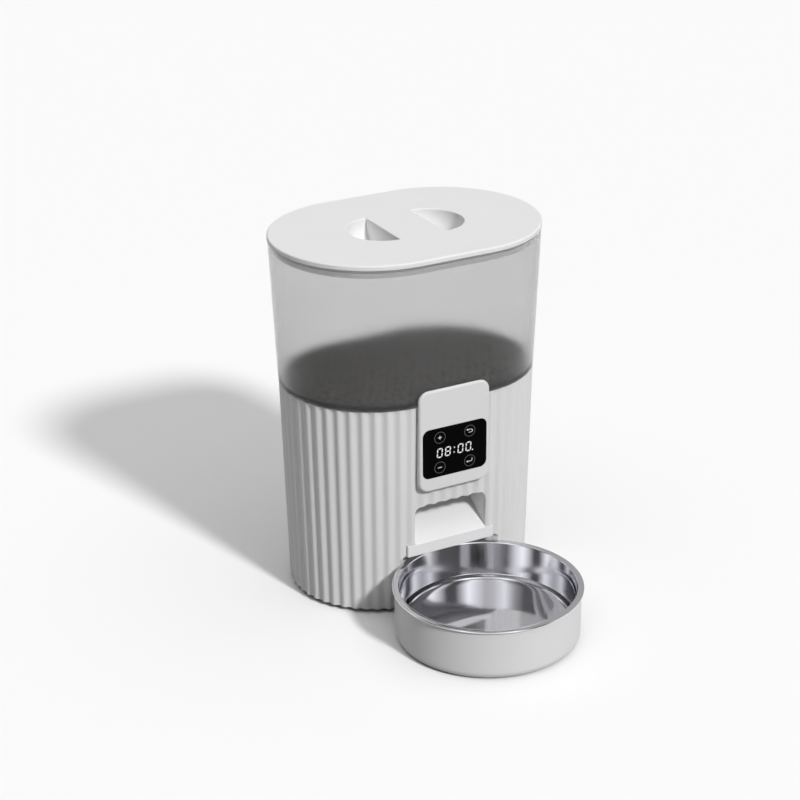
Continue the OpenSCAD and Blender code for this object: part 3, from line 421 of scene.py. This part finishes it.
shape = bmesh.new()
for digit, across in DIGITS:
    for level in HIGH_BARS[digit]:
        bar(shape, DIGIT_WIDE - STROKE * 0.7, STROKE, across * MM, level * DIGIT_HIGH / 2)
    for side in (-1, 1):
        for half in (-1, 1):
            bar(shape, DIGIT_HIGH / 2 - UPRIGHT_CUT, STROKE, across * MM + side * DIGIT_WIDE / 2,
                half * DIGIT_HIGH / 4, math.pi / 2)
for side in (-1, 1):
    bar(shape, COLON_DOT, COLON_DOT, COLON_ACROSS, side * COLON_UP, corners=DOT_CORNERS)
bar(shape, POINT_DOT, POINT_DOT, POINT_ACROSS, -DIGIT_HIGH / 2, corners=DOT_CORNERS)
for corner in shape.verts:
    corner.co.x += corner.co.y * DIGIT_LEAN
    corner.co.y -= DIGIT_DROP
onto_window(shape)
lit_segments = glowing("led_segments_lit_white", "#F4F4F4", "#D8D8D8", 0.95)
piece(shape, "clock_digits", "base", lit_segments)

# ---- Touch keys --------------------------------------------------------------------------------
# Four ringed signs that are printed on the window: plus and minus on the left, back and enter
# arrows on the right. Their pale print is painted as a glow, the same whatever light falls on it.
# The rings are in thinner lines and glow dimmer than the signs.
KEY_ACROSS = 14.05 * MM
KEY_UP = 13.5 * MM
KEY_DROP = 0.15 * MM
RING_RADIUS = 4.95 * MM
RING_LINE = 0.35 * MM
SIGN_LINE = 0.65 * MM
PLUS_LINE = 0.95 * MM
PLUS_LONG = 3.6 * MM
MINUS_LONG = 4.2 * MM
BACK_LOOP = 1.25 * MM
ENTER_BEND = 1.4 * MM
ENTER_DROP = 0.6 * MM
HEAD_RADIUS = 1.15 * MM
HEAD_IN = 2.1 * MM


def arc(shape, x, y, radius, line, start, sweep, steps):
    """A flat curved line, made by turning a short edge about the arc's centre."""
    out = Vector((math.cos(start), math.sin(start), 0))
    centre = Vector((x, y, 0))
    ends = [shape.verts.new(centre + out * (radius + side * line / 2)) for side in (-1, 1)]
    short = shape.edges.new(ends)
    bmesh.ops.spin(shape, geom=ends + [short], cent=centre, axis=(0, 0, 1), angle=sweep,
                   steps=steps, use_merge=sweep >= 2 * math.pi)


shape = bmesh.new()
for side in (-1, 1):
    for level in (-1, 1):
        arc(shape, side * KEY_ACROSS, level * KEY_UP - KEY_DROP, RING_RADIUS, RING_LINE,
            0, 2 * math.pi, 48)
onto_window(shape)
# The rings' pale print is a painted glow, dimmer than the signs'.
ring_painted_glow = glowing("key_ring_print_painted_glow", "#6E6E72", "#4A4A4E", 0.8)
piece(shape, "key_rings", "base", ring_painted_glow)

shape = bmesh.new()
upper = KEY_UP - KEY_DROP
lower = -KEY_UP - KEY_DROP
bar(shape, PLUS_LONG, PLUS_LINE, -KEY_ACROSS, upper)
bar(shape, PLUS_LONG, PLUS_LINE, -KEY_ACROSS, upper, math.pi / 2)
bar(shape, MINUS_LONG, PLUS_LINE, -KEY_ACROSS, lower)
# Back: an arrow head on the upper of two level lines that a half turn joins
bar(shape, 3.4 * MM, SIGN_LINE, KEY_ACROSS - 0.3 * MM, upper + BACK_LOOP)
bar(shape, 2.6 * MM, SIGN_LINE, KEY_ACROSS + 0.1 * MM, upper - BACK_LOOP)
arc(shape, KEY_ACROSS + 1.3 * MM, upper, BACK_LOOP, SIGN_LINE, -math.pi / 2, math.pi, 12)
# Enter: a short upright line that bends into the line with the arrow head
bar(shape, 1.6 * MM, SIGN_LINE, KEY_ACROSS + 2.3 * MM, lower + 1.5 * MM, math.pi / 2)
arc(shape, KEY_ACROSS + 0.9 * MM, lower + 0.8 * MM, ENTER_BEND, SIGN_LINE, -math.pi / 2,
    math.pi / 2, 8)
bar(shape, 3.4 * MM, SIGN_LINE, KEY_ACROSS - 0.5 * MM, lower - ENTER_DROP)
for head_y in (upper + BACK_LOOP, lower - ENTER_DROP):
    head = bmesh.ops.create_circle(shape, cap_ends=True, segments=3, radius=HEAD_RADIUS)
    bmesh.ops.transform(shape, verts=head["verts"], matrix=Matrix.Translation(
        (KEY_ACROSS - HEAD_IN, head_y, 0)) @ Matrix.Rotation(math.pi / 2, 4, "Z"))
onto_window(shape)
# The signs' pale print is a painted glow.
sign_painted_glow = glowing("key_sign_print_painted_glow", "#E2E2E2", "#B8B8BC", 0.9)
piece(shape, "key_signs", "base", sign_painted_glow)

# ---- Electronics -------------------------------------------------------------------------------
# Glass-epoxy boards under green solder mask, with the copper tracks just visible as paler
# lines, the clock module's white reflector housing, and black epoxy parts soldered on.
TRACK_WIDE = 8 * MM
solder_mask, tree = blank("green_solder_mask_board")
place = add(tree, "ShaderNodeTexCoord").outputs["Object"]
tracks = add(tree, "ShaderNodeTexBrick", {
    "Vector": place, "Scale": 1 / TRACK_WIDE, "Color1": linear("#1F5A38"),
    "Color2": linear("#24633F"), "Mortar": linear("#3F8058"), "Mortar Size": 0.03})
mask_height = add(tree, "ShaderNodeBump", {
    "Height": tracks.outputs["Fac"], "Strength": 0.5, "Distance": 0.03 * MM}, invert=True)
board = add(tree, "ShaderNodeBsdfPrincipled", {
    "Base Color": tracks, "Roughness": 0.28, "IOR": 1.5, "Normal": mask_height})
add(tree, "ShaderNodeOutputMaterial", {"Surface": board})
dress(solder_mask, "display_board", "main_board")
dress(moulded("white_pc_reflector", "#E2E3E4", "#DADBDC", 0.35, 1.0, 0.01), "led_display")
dress(moulded("black_epoxy_parts", "#202123", "#17181A", 0.45, 0.5, 0.01), "board_parts")

# ---- Inner mouldings ---------------------------------------------------------------------------
# Floor plate, bowl recess, deck, dispenser chamber with its shield, and the battery door:
# plain ABS from less polished moulds, so they are flatter and a shade darker than the shell.
inner_abs = moulded("inner_abs_matt_moulded", "#E4E4E2", "#DCDCDA", 0.55, 1.2, 0.02,
                    edge_mm=0.4, IOR=1.53)
dress(inner_abs, "bottom_cover", "bowl_dock", "rotor_chamber", "drop_shield", "deck",
      "battery_door")

# ---- Feet, inlet and battery bay ---------------------------------------------------------------
# Pressed-in feet of black rubber, matt with a dusty bloom. The inlet and the battery bay are
# black ABS. The cells have a steel can in a printed film sleeve.
dress(moulded("black_rubber_feet", "#2A2B2D", "#1E1F21", 0.8, 0.7, 0.03, edge_mm=0.6),
      "rubber_feet")
dress(moulded("black_abs_moulded", "#1D1E20", "#151618", 0.5, 0.9, 0.02, edge_mm=0.3),
      "dc_jack", "battery_box")

SLEEVE_BAND = 18 * MM
cells_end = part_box("battery_cells")[1][1]
sleeve, tree = blank("printed_film_sleeve")
place = add(tree, "ShaderNodeTexCoord").outputs["Object"]
along = add(tree, "ShaderNodeSeparateXYZ", {"Vector": place}).outputs["Y"]
band = add(tree, "ShaderNodeMath", {0: along, 1: cells_end - SLEEVE_BAND},
           operation="GREATER_THAN")
print_shade = add(tree, "ShaderNodeMixRGB", {
    "Fac": band, "Color1": linear("#33373D"), "Color2": linear("#B5843A")})
film = add(tree, "ShaderNodeBsdfPrincipled", {
    "Base Color": print_shade, "Metallic": 0.4, "Roughness": 0.32})
add(tree, "ShaderNodeOutputMaterial", {"Surface": film})
dress(sleeve, "battery_cells")

# ---- Screws, springs and shafts ----------------------------------------------------------------
# Zinc-plated screws, nickel-plated springs and contacts, and ground steel shafts. Plating
# clouds the steel a little, and grinding leaves fine rings round a shaft.
# A wave texture of scale 1 has bands about 0.3 m wide
WAVE_BAND = 0.3


def metal(name, light, dark, roughness, cloud_mm, ring_mm=0.0):
    """A bare or plated metal with slow clouding, and fine lathe rings where ring_mm is set."""
    material, tree = blank(name)
    place = add(tree, "ShaderNodeTexCoord").outputs["Object"]
    cloud = add(tree, "ShaderNodeTexNoise", {
        "Vector": place, "Scale": 1 / (cloud_mm * MM), "Detail": 3.0})
    shade = add(tree, "ShaderNodeMixRGB", {
        "Fac": cloud, "Color1": linear(dark), "Color2": linear(light)})
    gloss = add(tree, "ShaderNodeMapRange", {
        "Value": cloud, "From Min": 0.3, "From Max": 0.7,
        "To Min": roughness - 0.04, "To Max": roughness + 0.06})
    bare = add(tree, "ShaderNodeBsdfPrincipled", {
        "Base Color": shade, "Metallic": 1.0, "Roughness": gloss})
    if ring_mm:
        rings = add(tree, "ShaderNodeTexWave", {
            "Vector": place, "Scale": WAVE_BAND / (ring_mm * MM)}, bands_direction="Z")
        cut = add(tree, "ShaderNodeBump", {
            "Height": rings, "Strength": 0.3, "Distance": 0.01 * MM})
        tree.links.new(cut.outputs[0], bare.inputs["Normal"])
    add(tree, "ShaderNodeOutputMaterial", {"Surface": bare})
    return material


dress(metal("zinc_plated_steel", "#C8CCD2", "#A9AFB5", 0.32, 2.0),
      "bottom_screws", "chamber_screws", "panel_screws", "gearbox_screws", "motor_screws")
dress(metal("nickel_plated_spring", "#D6D3CB", "#BDBAB2", 0.22, 3.0),
      "touch_springs", "battery_contacts")
dress(metal("ground_steel_shaft", "#CDD0D3", "#B9BCC0", 0.18, 4.0, ring_mm=0.4),
      "idler_pin", "drive_shaft", "motor_shaft")

# ---- Gearbox and motor -------------------------------------------------------------------------
# A glass-filled nylon case, acetal gears with the waxy look of that plastic, a turned brass
# pinion and bush, and the motor's drawn and plated steel can.
dark_nylon = moulded("glass_filled_nylon", "#585D64", "#4B5056", 0.6, 1.5, 0.04, edge_mm=0.4)
dress(dark_nylon, "gearbox_case", "gearbox_cover")
dress(moulded("acetal_gears_waxy", "#E3DDCF", "#DAD3C3", 0.38, 2.0, 0.008,
              **{"Subsurface Weight": 0.15, "Subsurface Scale": 1 * MM}),
      "output_gear", "idler_gear")
dress(metal("turned_brass", "#D2AE63", "#C09B50", 0.25, 3.0, ring_mm=0.4),
      "output_bush", "motor_pinion")
dress(metal("drawn_motor_can", "#B9BDC2", "#A3A7AC", 0.3, 6.0, ring_mm=0.8), "geared_motor")

# ---- Rotor -------------------------------------------------------------------------------------
# Six flexible paddles of grey silicone on a nylon hub, and an agitator that stirs the food
# above them. Silicone is matt and lets a little light through its edges.
grey_nylon = moulded("grey_nylon_moulded", "#9A9EA3", "#8D9196", 0.5, 1.0, 0.02, edge_mm=0.4)
dress(grey_nylon, "rotor_hub", "agitator")
dress(moulded("grey_silicone_paddles", "#A2A6AA", "#94989C", 0.6, 0.8, 0.02, edge_mm=0.4,
              **{"Subsurface Weight": 0.2, "Subsurface Scale": 2 * MM}),
      "rotor_paddles", "shaft_seal")

# ---- Hopper ------------------------------------------------------------------------------------
# A lift-off tank moulded in one piece from frosted polypropylene, 2.4 mm thick. Its wall leans
# out a little, its skirt drops into the base, and its floor is a smooth funnel to a round
# neck. The frosted skin blurs what is behind it, more the further off that is.
WALL = 2.4 * MM
SKIRT_WALL = 2.0 * MM
SKIRT_IN = 4.9 * MM
SKIRT_DEEP = 10 * MM
NECK_WALL = 2.4 * MM
NECK_RADIUS = 42 * MM
NECK_LONG = 7 * MM
SHOULDER_DROP = 4 * MM
FLOOR_WALL = 2 * MM
FUNNEL_STEPS = 8
BROKEN_EDGE = 0.6 * MM
GRIT = 1.0 * MM
CLOUD_WIDE = 60 * MM
rotor_low, rotor_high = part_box("rotor_paddles")
neck_middle = (rotor_low[1] + rotor_high[1]) / 2
mouth = tank_high[2]
neck_end = tank_low[2]
skirt_radius = seam_radius - SKIRT_IN


def oval(shape, half, radius, y, z, segments=128):
    """The edges of an oval loop: a circle whose two halves are drawn apart by half each."""
    made = bmesh.ops.create_circle(shape, segments=segments, radius=radius,
                                   matrix=Matrix.Rotation(math.pi / segments, 4, "Z"))
    for corner in made["verts"]:
        corner.co = (corner.co.x + math.copysign(half, corner.co.x), corner.co.y + y, z)
    return list({edge for corner in made["verts"] for edge in corner.link_edges})


def loft(shape, loops, closed):
    """Skins a row of loops, and joins the last to the first on a closed wall."""
    pairs = list(zip(loops, loops[1:])) + ([(loops[-1], loops[0])] if closed else [])
    for one, other in pairs:
        bmesh.ops.bridge_loops(shape, edges=one + other)
    bmesh.ops.recalc_face_normals(shape, faces=shape.faces[:])


def funnel(steps, radius, end_radius, top, end):
    """Sizes of the loops from the oval floor to the round neck, on a smooth S curve."""
    for k in range(steps + 1):
        t = k / steps
        ease = t * t * (3 - 2 * t)
        yield (flat * (1 - t), radius + (end_radius - radius) * t,
               middle + (neck_middle - middle) * t, top + (end - top) * (0.5 * t + 0.5 * ease))


shoulder = seam - SHOULDER_DROP
funnel_end = neck_end + NECK_LONG
rows = [
    (flat, seam_radius, middle, seam), (flat, mouth_radius, middle, mouth - BROKEN_EDGE),
    (flat, mouth_radius - BROKEN_EDGE, middle, mouth),
    (flat, mouth_radius - WALL + BROKEN_EDGE, middle, mouth),
    (flat, mouth_radius - WALL, middle, mouth - BROKEN_EDGE),
    (flat, seam_radius - WALL, middle, seam + SHOULDER_DROP),
    (flat, skirt_radius - SKIRT_WALL, middle, seam - MM),
    *funnel(FUNNEL_STEPS, skirt_radius - SKIRT_WALL, NECK_RADIUS, shoulder, funnel_end),
    (0, NECK_RADIUS, neck_middle, neck_end), (0, NECK_RADIUS + NECK_WALL, neck_middle, neck_end),
    *reversed(list(funnel(FUNNEL_STEPS, skirt_radius - SKIRT_WALL, NECK_RADIUS + NECK_WALL,
                          shoulder - FLOOR_WALL, funnel_end - MM))),
    (flat, skirt_radius - SKIRT_WALL, middle, seam - SKIRT_DEEP),
    (flat, skirt_radius, middle, seam - SKIRT_DEEP), (flat, skirt_radius, middle, seam)]
shape = bmesh.new()
# The flat rings at the seam and at the neck's lower end come out twisted, as flat sheets across the
# middle.
loft(shape, [oval(shape, *row) for row in rows], closed=True)

frosted_pp, tree = blank("frosted_polypropylene_tank")
place = add(tree, "ShaderNodeTexCoord").outputs["Object"]
# The frosting's grit is about 0.1 mm, drawn ten times as coarse so that it shows at all
frost = add(tree, "ShaderNodeTexNoise", {"Vector": place, "Scale": 1 / GRIT, "Detail": 2.0})
haze = add(tree, "ShaderNodeMapRange", {
    "Value": frost, "From Min": 0.3, "From Max": 0.7, "To Min": 0.17, "To Max": 0.20})
cloud = add(tree, "ShaderNodeTexNoise", {"Vector": place, "Scale": 1 / CLOUD_WIDE, "Detail": 1.0})
tone = add(tree, "ShaderNodeMixRGB", {
    "Fac": cloud, "Color1": linear("#E3E3E3"), "Color2": linear("#E7E7E7")})
grit = add(tree, "ShaderNodeBump", {"Height": frost, "Strength": 0.3, "Distance": 0.01 * MM})
tank = add(tree, "ShaderNodeBsdfPrincipled", {
    "Base Color": tone, "Roughness": haze, "IOR": 1.3, "Transmission Weight": 0.965,
    "Normal": grit})
add(tree, "ShaderNodeOutputMaterial", {"Surface": tank})
hopper = piece(shape, "hopper_tank", "hopper", frosted_pp, crease=30)
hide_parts("hopper")

# ---- Dry food ----------------------------------------------------------------------------------
# About 0.4 litres of baked pellets, 8 to 9 mm across, brown with paler meal on their skin. They
# lie level in the hopper and fill the funnel below, which one mass under them stands for.
PELLET = 4.3 * MM
PELLET_PITCH = 7.6 * MM
CLOSE_ROWS = 0.866
PELLET_CLEAR = 4 * MM
CRUMB = 0.8 * MM
BED_DROP = 11 * MM
BED_IN = 7 * MM
FOOD_GAP = 5 * MM
FOOD_UP = 2.2 * MM
FOOD_STEPS = 6
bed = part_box("food_fill")[1][2] - BED_DROP
shape = bmesh.new()
rows = [(flat, skirt_radius - BED_IN, middle, bed),
        *[(half, radius - FOOD_GAP, y, z + FOOD_UP) for half, radius, y, z in
          funnel(FOOD_STEPS, skirt_radius - SKIRT_WALL, NECK_RADIUS, shoulder, funnel_end)]]
loops = [oval(shape, *row, segments=64) for row in rows]
loft(shape, loops, closed=False)
bmesh.ops.contextual_create(shape, geom=loops[0])
bmesh.ops.contextual_create(shape, geom=loops[-1])
bmesh.ops.recalc_face_normals(shape, faces=shape.faces[:])

pellet_random = random.Random(7)


def pellet(shape, x, y, z):
    """One pellet: a flattened ball, tipped at random."""
    made = bmesh.ops.create_uvsphere(shape, u_segments=8, v_segments=5, radius=PELLET)
    tip = Matrix.Rotation(pellet_random.uniform(0, 2 * math.pi), 4, "Z") @ Matrix.Rotation(
        pellet_random.uniform(-0.6, 0.6), 4, "X")
    size = pellet_random.uniform(0.9, 1.08)
    bmesh.ops.transform(shape, verts=made["verts"], matrix=Matrix.Translation((x, y, z)) @ tip
                        @ Matrix.Diagonal((size, size, 0.62 * size, 1)))


reach = skirt_radius - PELLET - PELLET_CLEAR
row_count = int(reach / (PELLET_PITCH * CLOSE_ROWS)) + 1
column_count = int((flat + reach) / PELLET_PITCH) + 1
for row in range(-row_count, row_count + 1):
    for column in range(-column_count, column_count + 1):
        x = (column + 0.5 * (row % 2)) * PELLET_PITCH + pellet_random.uniform(-1, 1) * MM
        y = row * PELLET_PITCH * CLOSE_ROWS + pellet_random.uniform(-1, 1) * MM
        if math.hypot(max(abs(x) - flat, 0), y) < reach:
            pellet(shape, x, middle + y, bed + pellet_random.uniform(0, 1.8) * MM)

baked_meal, tree = blank("baked_meal_pellets")
place = add(tree, "ShaderNodeTexCoord").outputs["Object"]
batch = add(tree, "ShaderNodeTexVoronoi", {"Vector": place, "Scale": 1 / PELLET_PITCH})
batch_value = add(tree, "ShaderNodeSeparateColor", {"Color": batch.outputs["Color"]})
crumb = add(tree, "ShaderNodeTexNoise", {"Vector": place, "Scale": 1 / CRUMB, "Detail": 4.0})
blend_value = add(tree, "ShaderNodeMath", {0: batch_value, 1: crumb}, operation="MULTIPLY")
meal = add(tree, "ShaderNodeMixRGB", {
    "Fac": blend_value, "Color1": linear("#1A1612"), "Color2": linear("#3C3025")})
crust = add(tree, "ShaderNodeBump", {"Height": crumb, "Strength": 0.7, "Distance": 0.3 * MM})
baked = add(tree, "ShaderNodeBsdfPrincipled", {
    "Base Color": meal, "Roughness": 0.85, "Normal": crust})
add(tree, "ShaderNodeOutputMaterial", {"Surface": baked})
food = piece(shape, "dry_food", "hopper", baked_meal, crease=80)
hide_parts("food_fill")

# ---- Lid ---------------------------------------------------------------------------------------
# A thick ABS lid that drops into the hopper's mouth. A finger scoop is sunk on each side of the
# grip bar. The edges of the scoops and of the lid's top are rounded for the fingers.
SCOOP_EDGE = 1.0 * MM
lid_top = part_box("lid")[1][2]
shape = softened("lid", SCOOP_EDGE, lambda p: abs(p.z - lid_top) < ON_FACE)
lid_abs = moulded("white_abs_lid_moulded", "#E6E6E6", "#E3E3E3", 0.42, 0.9, 0.012, IOR=1.53)
lid = piece(shape, "lid_moulding", "lid", lid_abs, flat_faces=True)
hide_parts("lid")
dress(moulded("lid_seal_silicone", "#DADBDB", "#D0D1D1", 0.55, 0.8, 0.01,
              **{"Subsurface Weight": 0.2, "Subsurface Scale": 2 * MM}), "lid_seal")

# ---- Desiccant ---------------------------------------------------------------------------------
# A box under the lid with a flip door of slotted ABS, which holds a cartridge of silica gel
# whose pale blue case is pierced so that the gel can dry the air.
dress(inner_abs, "desiccant_box", "desiccant_door")
dress(moulded("pale_blue_cartridge", "#C9DBE6", "#BCD0DD", 0.5, 0.9, 0.02, edge_mm=0.3),
      "desiccant_cartridge")

# ---- Bowl and its holder -----------------------------------------------------------------------
# The holder is a plain ABS cup that stands on the floor. The bowl in it is deep-drawn stainless
# steel, polished inside, with a flat rim whose edge is rolled under. A step round its floor,
# which is slightly domed, stiffens it.
dress(white_abs, "bowl_holder")

STEEL = 0.8 * MM
RIM_WIDE = 5.1 * MM
ROLL = 0.9 * MM
FLOOR_IN = 10.9 * MM
DOME = 2.2 * MM
SPIN_STEPS = 160
POLISH_CLOUD = 25 * MM
LATHE_RING = 0.6 * MM
bowl_low, bowl_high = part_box("steel_bowl")
rim_radius = (bowl_high[0] - bowl_low[0]) / 2
bowl_middle = (bowl_low[1] + bowl_high[1]) / 2
rim_top = bowl_high[2]
floor_top = bowl_low[2] + STEEL
wall_radius = rim_radius - RIM_WIDE
floor_radius = rim_radius - FLOOR_IN
# The section's corners, radius and height, from the underside's middle out and over the rim
profile = [
    (0, floor_top - STEEL), (floor_radius - 0.6 * MM, floor_top - STEEL),
    (floor_radius + 1 * MM, floor_top + 0.8 * MM), (wall_radius - 1.2 * MM, floor_top + 1 * MM),
    (wall_radius, floor_top + 2.6 * MM), (wall_radius + 0.6 * MM, rim_top - STEEL),
    (rim_radius - ROLL, rim_top - 2 * ROLL), (rim_radius - 0.25 * ROLL, rim_top - 1.7 * ROLL),
    (rim_radius, rim_top - ROLL), (rim_radius - 0.25 * ROLL, rim_top - 0.3 * ROLL),
    (rim_radius - ROLL, rim_top), (wall_radius + 0.9 * MM, rim_top),
    (wall_radius - 0.1 * MM, rim_top - 0.3 * MM), (wall_radius - 0.5 * MM, rim_top - 1.2 * MM),
    (wall_radius - STEEL, floor_top + 3 * MM), (wall_radius - 1.2 * MM, floor_top + 2.2 * MM),
    (wall_radius - 2.1 * MM, floor_top + 1.8 * MM),
    (floor_radius + 0.8 * MM, floor_top + 1.6 * MM),
    (floor_radius + 0.2 * MM, floor_top + 1.3 * MM),
    (floor_radius - 0.4 * MM, floor_top + 0.2 * MM),
    (floor_radius - 1.2 * MM, floor_top), (floor_radius - 8 * MM, floor_top + 0.25 * MM),
    (8 * MM, floor_top + DOME - 0.15 * MM), (0, floor_top + DOME)]
shape = bmesh.new()
corners = [shape.verts.new((radius, 0, height)) for radius, height in profile]
wire = [shape.edges.new(pair) for pair in zip(corners, corners[1:])]
bmesh.ops.spin(shape, geom=corners + wire, cent=(0, 0, 0), axis=(0, 0, 1), angle=2 * math.pi,
               steps=SPIN_STEPS, use_merge=True)
bmesh.ops.remove_doubles(shape, verts=shape.verts, dist=0.001 * MM)
bmesh.ops.recalc_face_normals(shape, faces=shape.faces[:])
bmesh.ops.translate(shape, verts=shape.verts, vec=(0, bowl_middle, 0))

polished, tree = blank("polished_stainless_steel")
place = add(tree, "ShaderNodeTexCoord").outputs["Object"]
from_bowl = add(tree, "ShaderNodeMapping", {"Vector": place, "Location": (0, -bowl_middle, 0)})
spun = add(tree, "ShaderNodeTexNoise", {
    "Vector": from_bowl, "Scale": 1 / POLISH_CLOUD, "Detail": 2.0})
wipe = add(tree, "ShaderNodeMapRange", {
    "Value": spun, "From Min": 0.3, "From Max": 0.7, "To Min": 0.06, "To Max": 0.12})
lathe = add(tree, "ShaderNodeTexWave", {"Vector": from_bowl, "Scale": WAVE_BAND / LATHE_RING},
            wave_type="RINGS", rings_direction="Z")
polish = add(tree, "ShaderNodeBump", {"Height": lathe, "Strength": 0.08, "Distance": 0.004 * MM})
mirror = add(tree, "ShaderNodeBsdfPrincipled", {
    "Base Color": linear("#DCDCE0"), "Metallic": 1.0, "Roughness": wipe, "Normal": polish})
add(tree, "ShaderNodeOutputMaterial", {"Surface": mirror})
bowl = piece(shape, "steel_food_bowl", "bowl", polished, crease=32)
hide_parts("steel_bowl")
